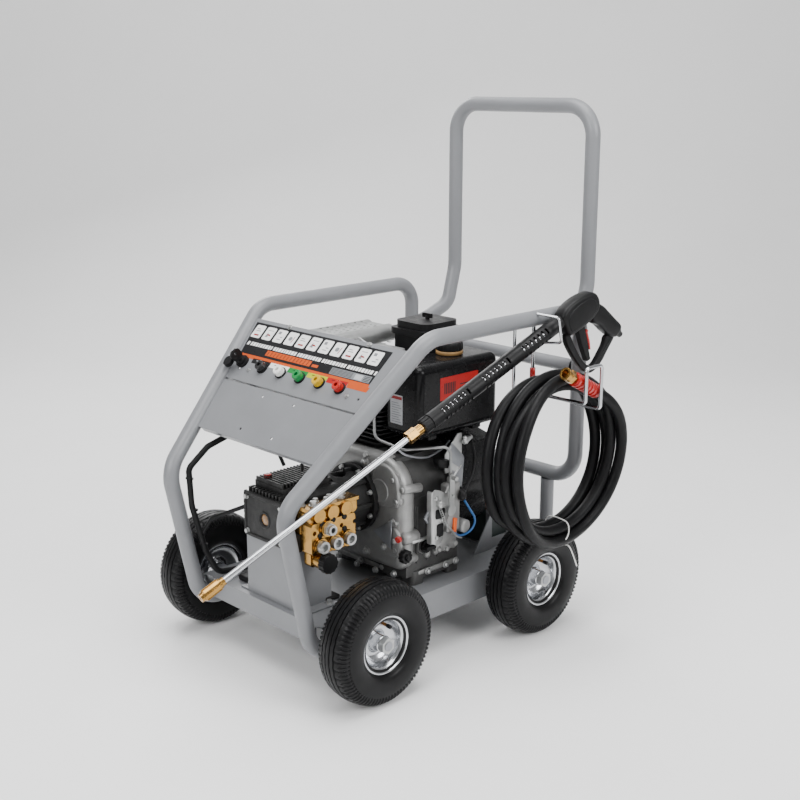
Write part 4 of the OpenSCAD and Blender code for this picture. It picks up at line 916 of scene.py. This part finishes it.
# cable tie round the foot of the coil
tie = path((383, 190, 254), (385, 208, 248), (386, 226, 262), (384, 226, 288), (366, 226, 293),
           (336, 226, 293), (321, 226, 286), (319, 226, 262), (322, 226, 238), (340, 226, 233),
           (366, 226, 233), (385, 227, 240), (390, 238, 214), (392, 250, 185))
tube_curve("cable_tie", tie, 1.4 * mm, WHITE_NYLON, "machine")

# ---------- stage ----------

# a floor that curves up into a wall behind the machine, in metres
STAGE_FRONT, STAGE_HALF_W, STAGE_TOP = -14.0, 16.0, 9.0
BEND_FROM, BEND_R = 2.6, 1.6
bend = [math.radians(a) for a in range(0, 91, 10)]
prof = [(STAGE_FRONT, 0.0)]
prof += [(BEND_FROM + BEND_R * math.sin(a), BEND_R - BEND_R * math.cos(a)) for a in bend]
prof += [(BEND_FROM + BEND_R, STAGE_TOP)]
bm = bmesh.new()
away = Vector((-math.sin(AZ), math.cos(AZ), 0))
side = Vector((math.cos(AZ), math.sin(AZ), 0))
rows = [[bm.verts.new(away * d + side * s + Vector((0, 0, z))) for s in (-STAGE_HALF_W, STAGE_HALF_W)]
        for d, z in prof]
for r0, r1 in zip(rows, rows[1:]):
    bm.faces.new((r0[0], r0[1], r1[1], r1[0]))
me = bpy.data.meshes.new("studio_floor")
bm.to_mesh(me)
bm.free()
for p in me.polygons:
    p.use_smooth = True
me.materials.append(FLOOR)
floor = bpy.data.objects.new("studio_floor", me)
bpy.context.scene.collection.objects.link(floor)


def area_light(name, loc, aim, size, power):
    light = bpy.data.lights.new(name, "AREA")
    light.shape = "RECTANGLE"
    light.size, light.size_y = size
    light.energy = power
    ob = bpy.data.objects.new(name, light)
    ob.location = loc
    ob.rotation_mode = "QUATERNION"
    ob.rotation_quaternion = (Vector(aim) - Vector(loc)).to_track_quat("-Z", "Y")
    bpy.context.scene.collection.objects.link(ob)


area_light("top_soft", (0.2, -0.2, 3.4), (0, 0, 0.3), (2.6, 2.6), 150)
area_light("front_soft", (0.6, -3.2, 2.2), (0, 0, 0.5), (1.8, 1.8), 75)
area_light("right_soft", (3.2, 0.6, 2.2), (0, 0, 0.5), (1.8, 1.8), 85)
area_light("left_rim", (-2.8, 1.2, 2.4), (0, 0, 0.6), (1.6, 1.6), 55)
world = bpy.data.worlds.new("studio")
world.use_nodes = True
world.node_tree.nodes["Background"].inputs[0].default_value = (1, 1, 1, 1)
world.node_tree.nodes["Background"].inputs[1].default_value = 0.4
bpy.context.scene.world = world
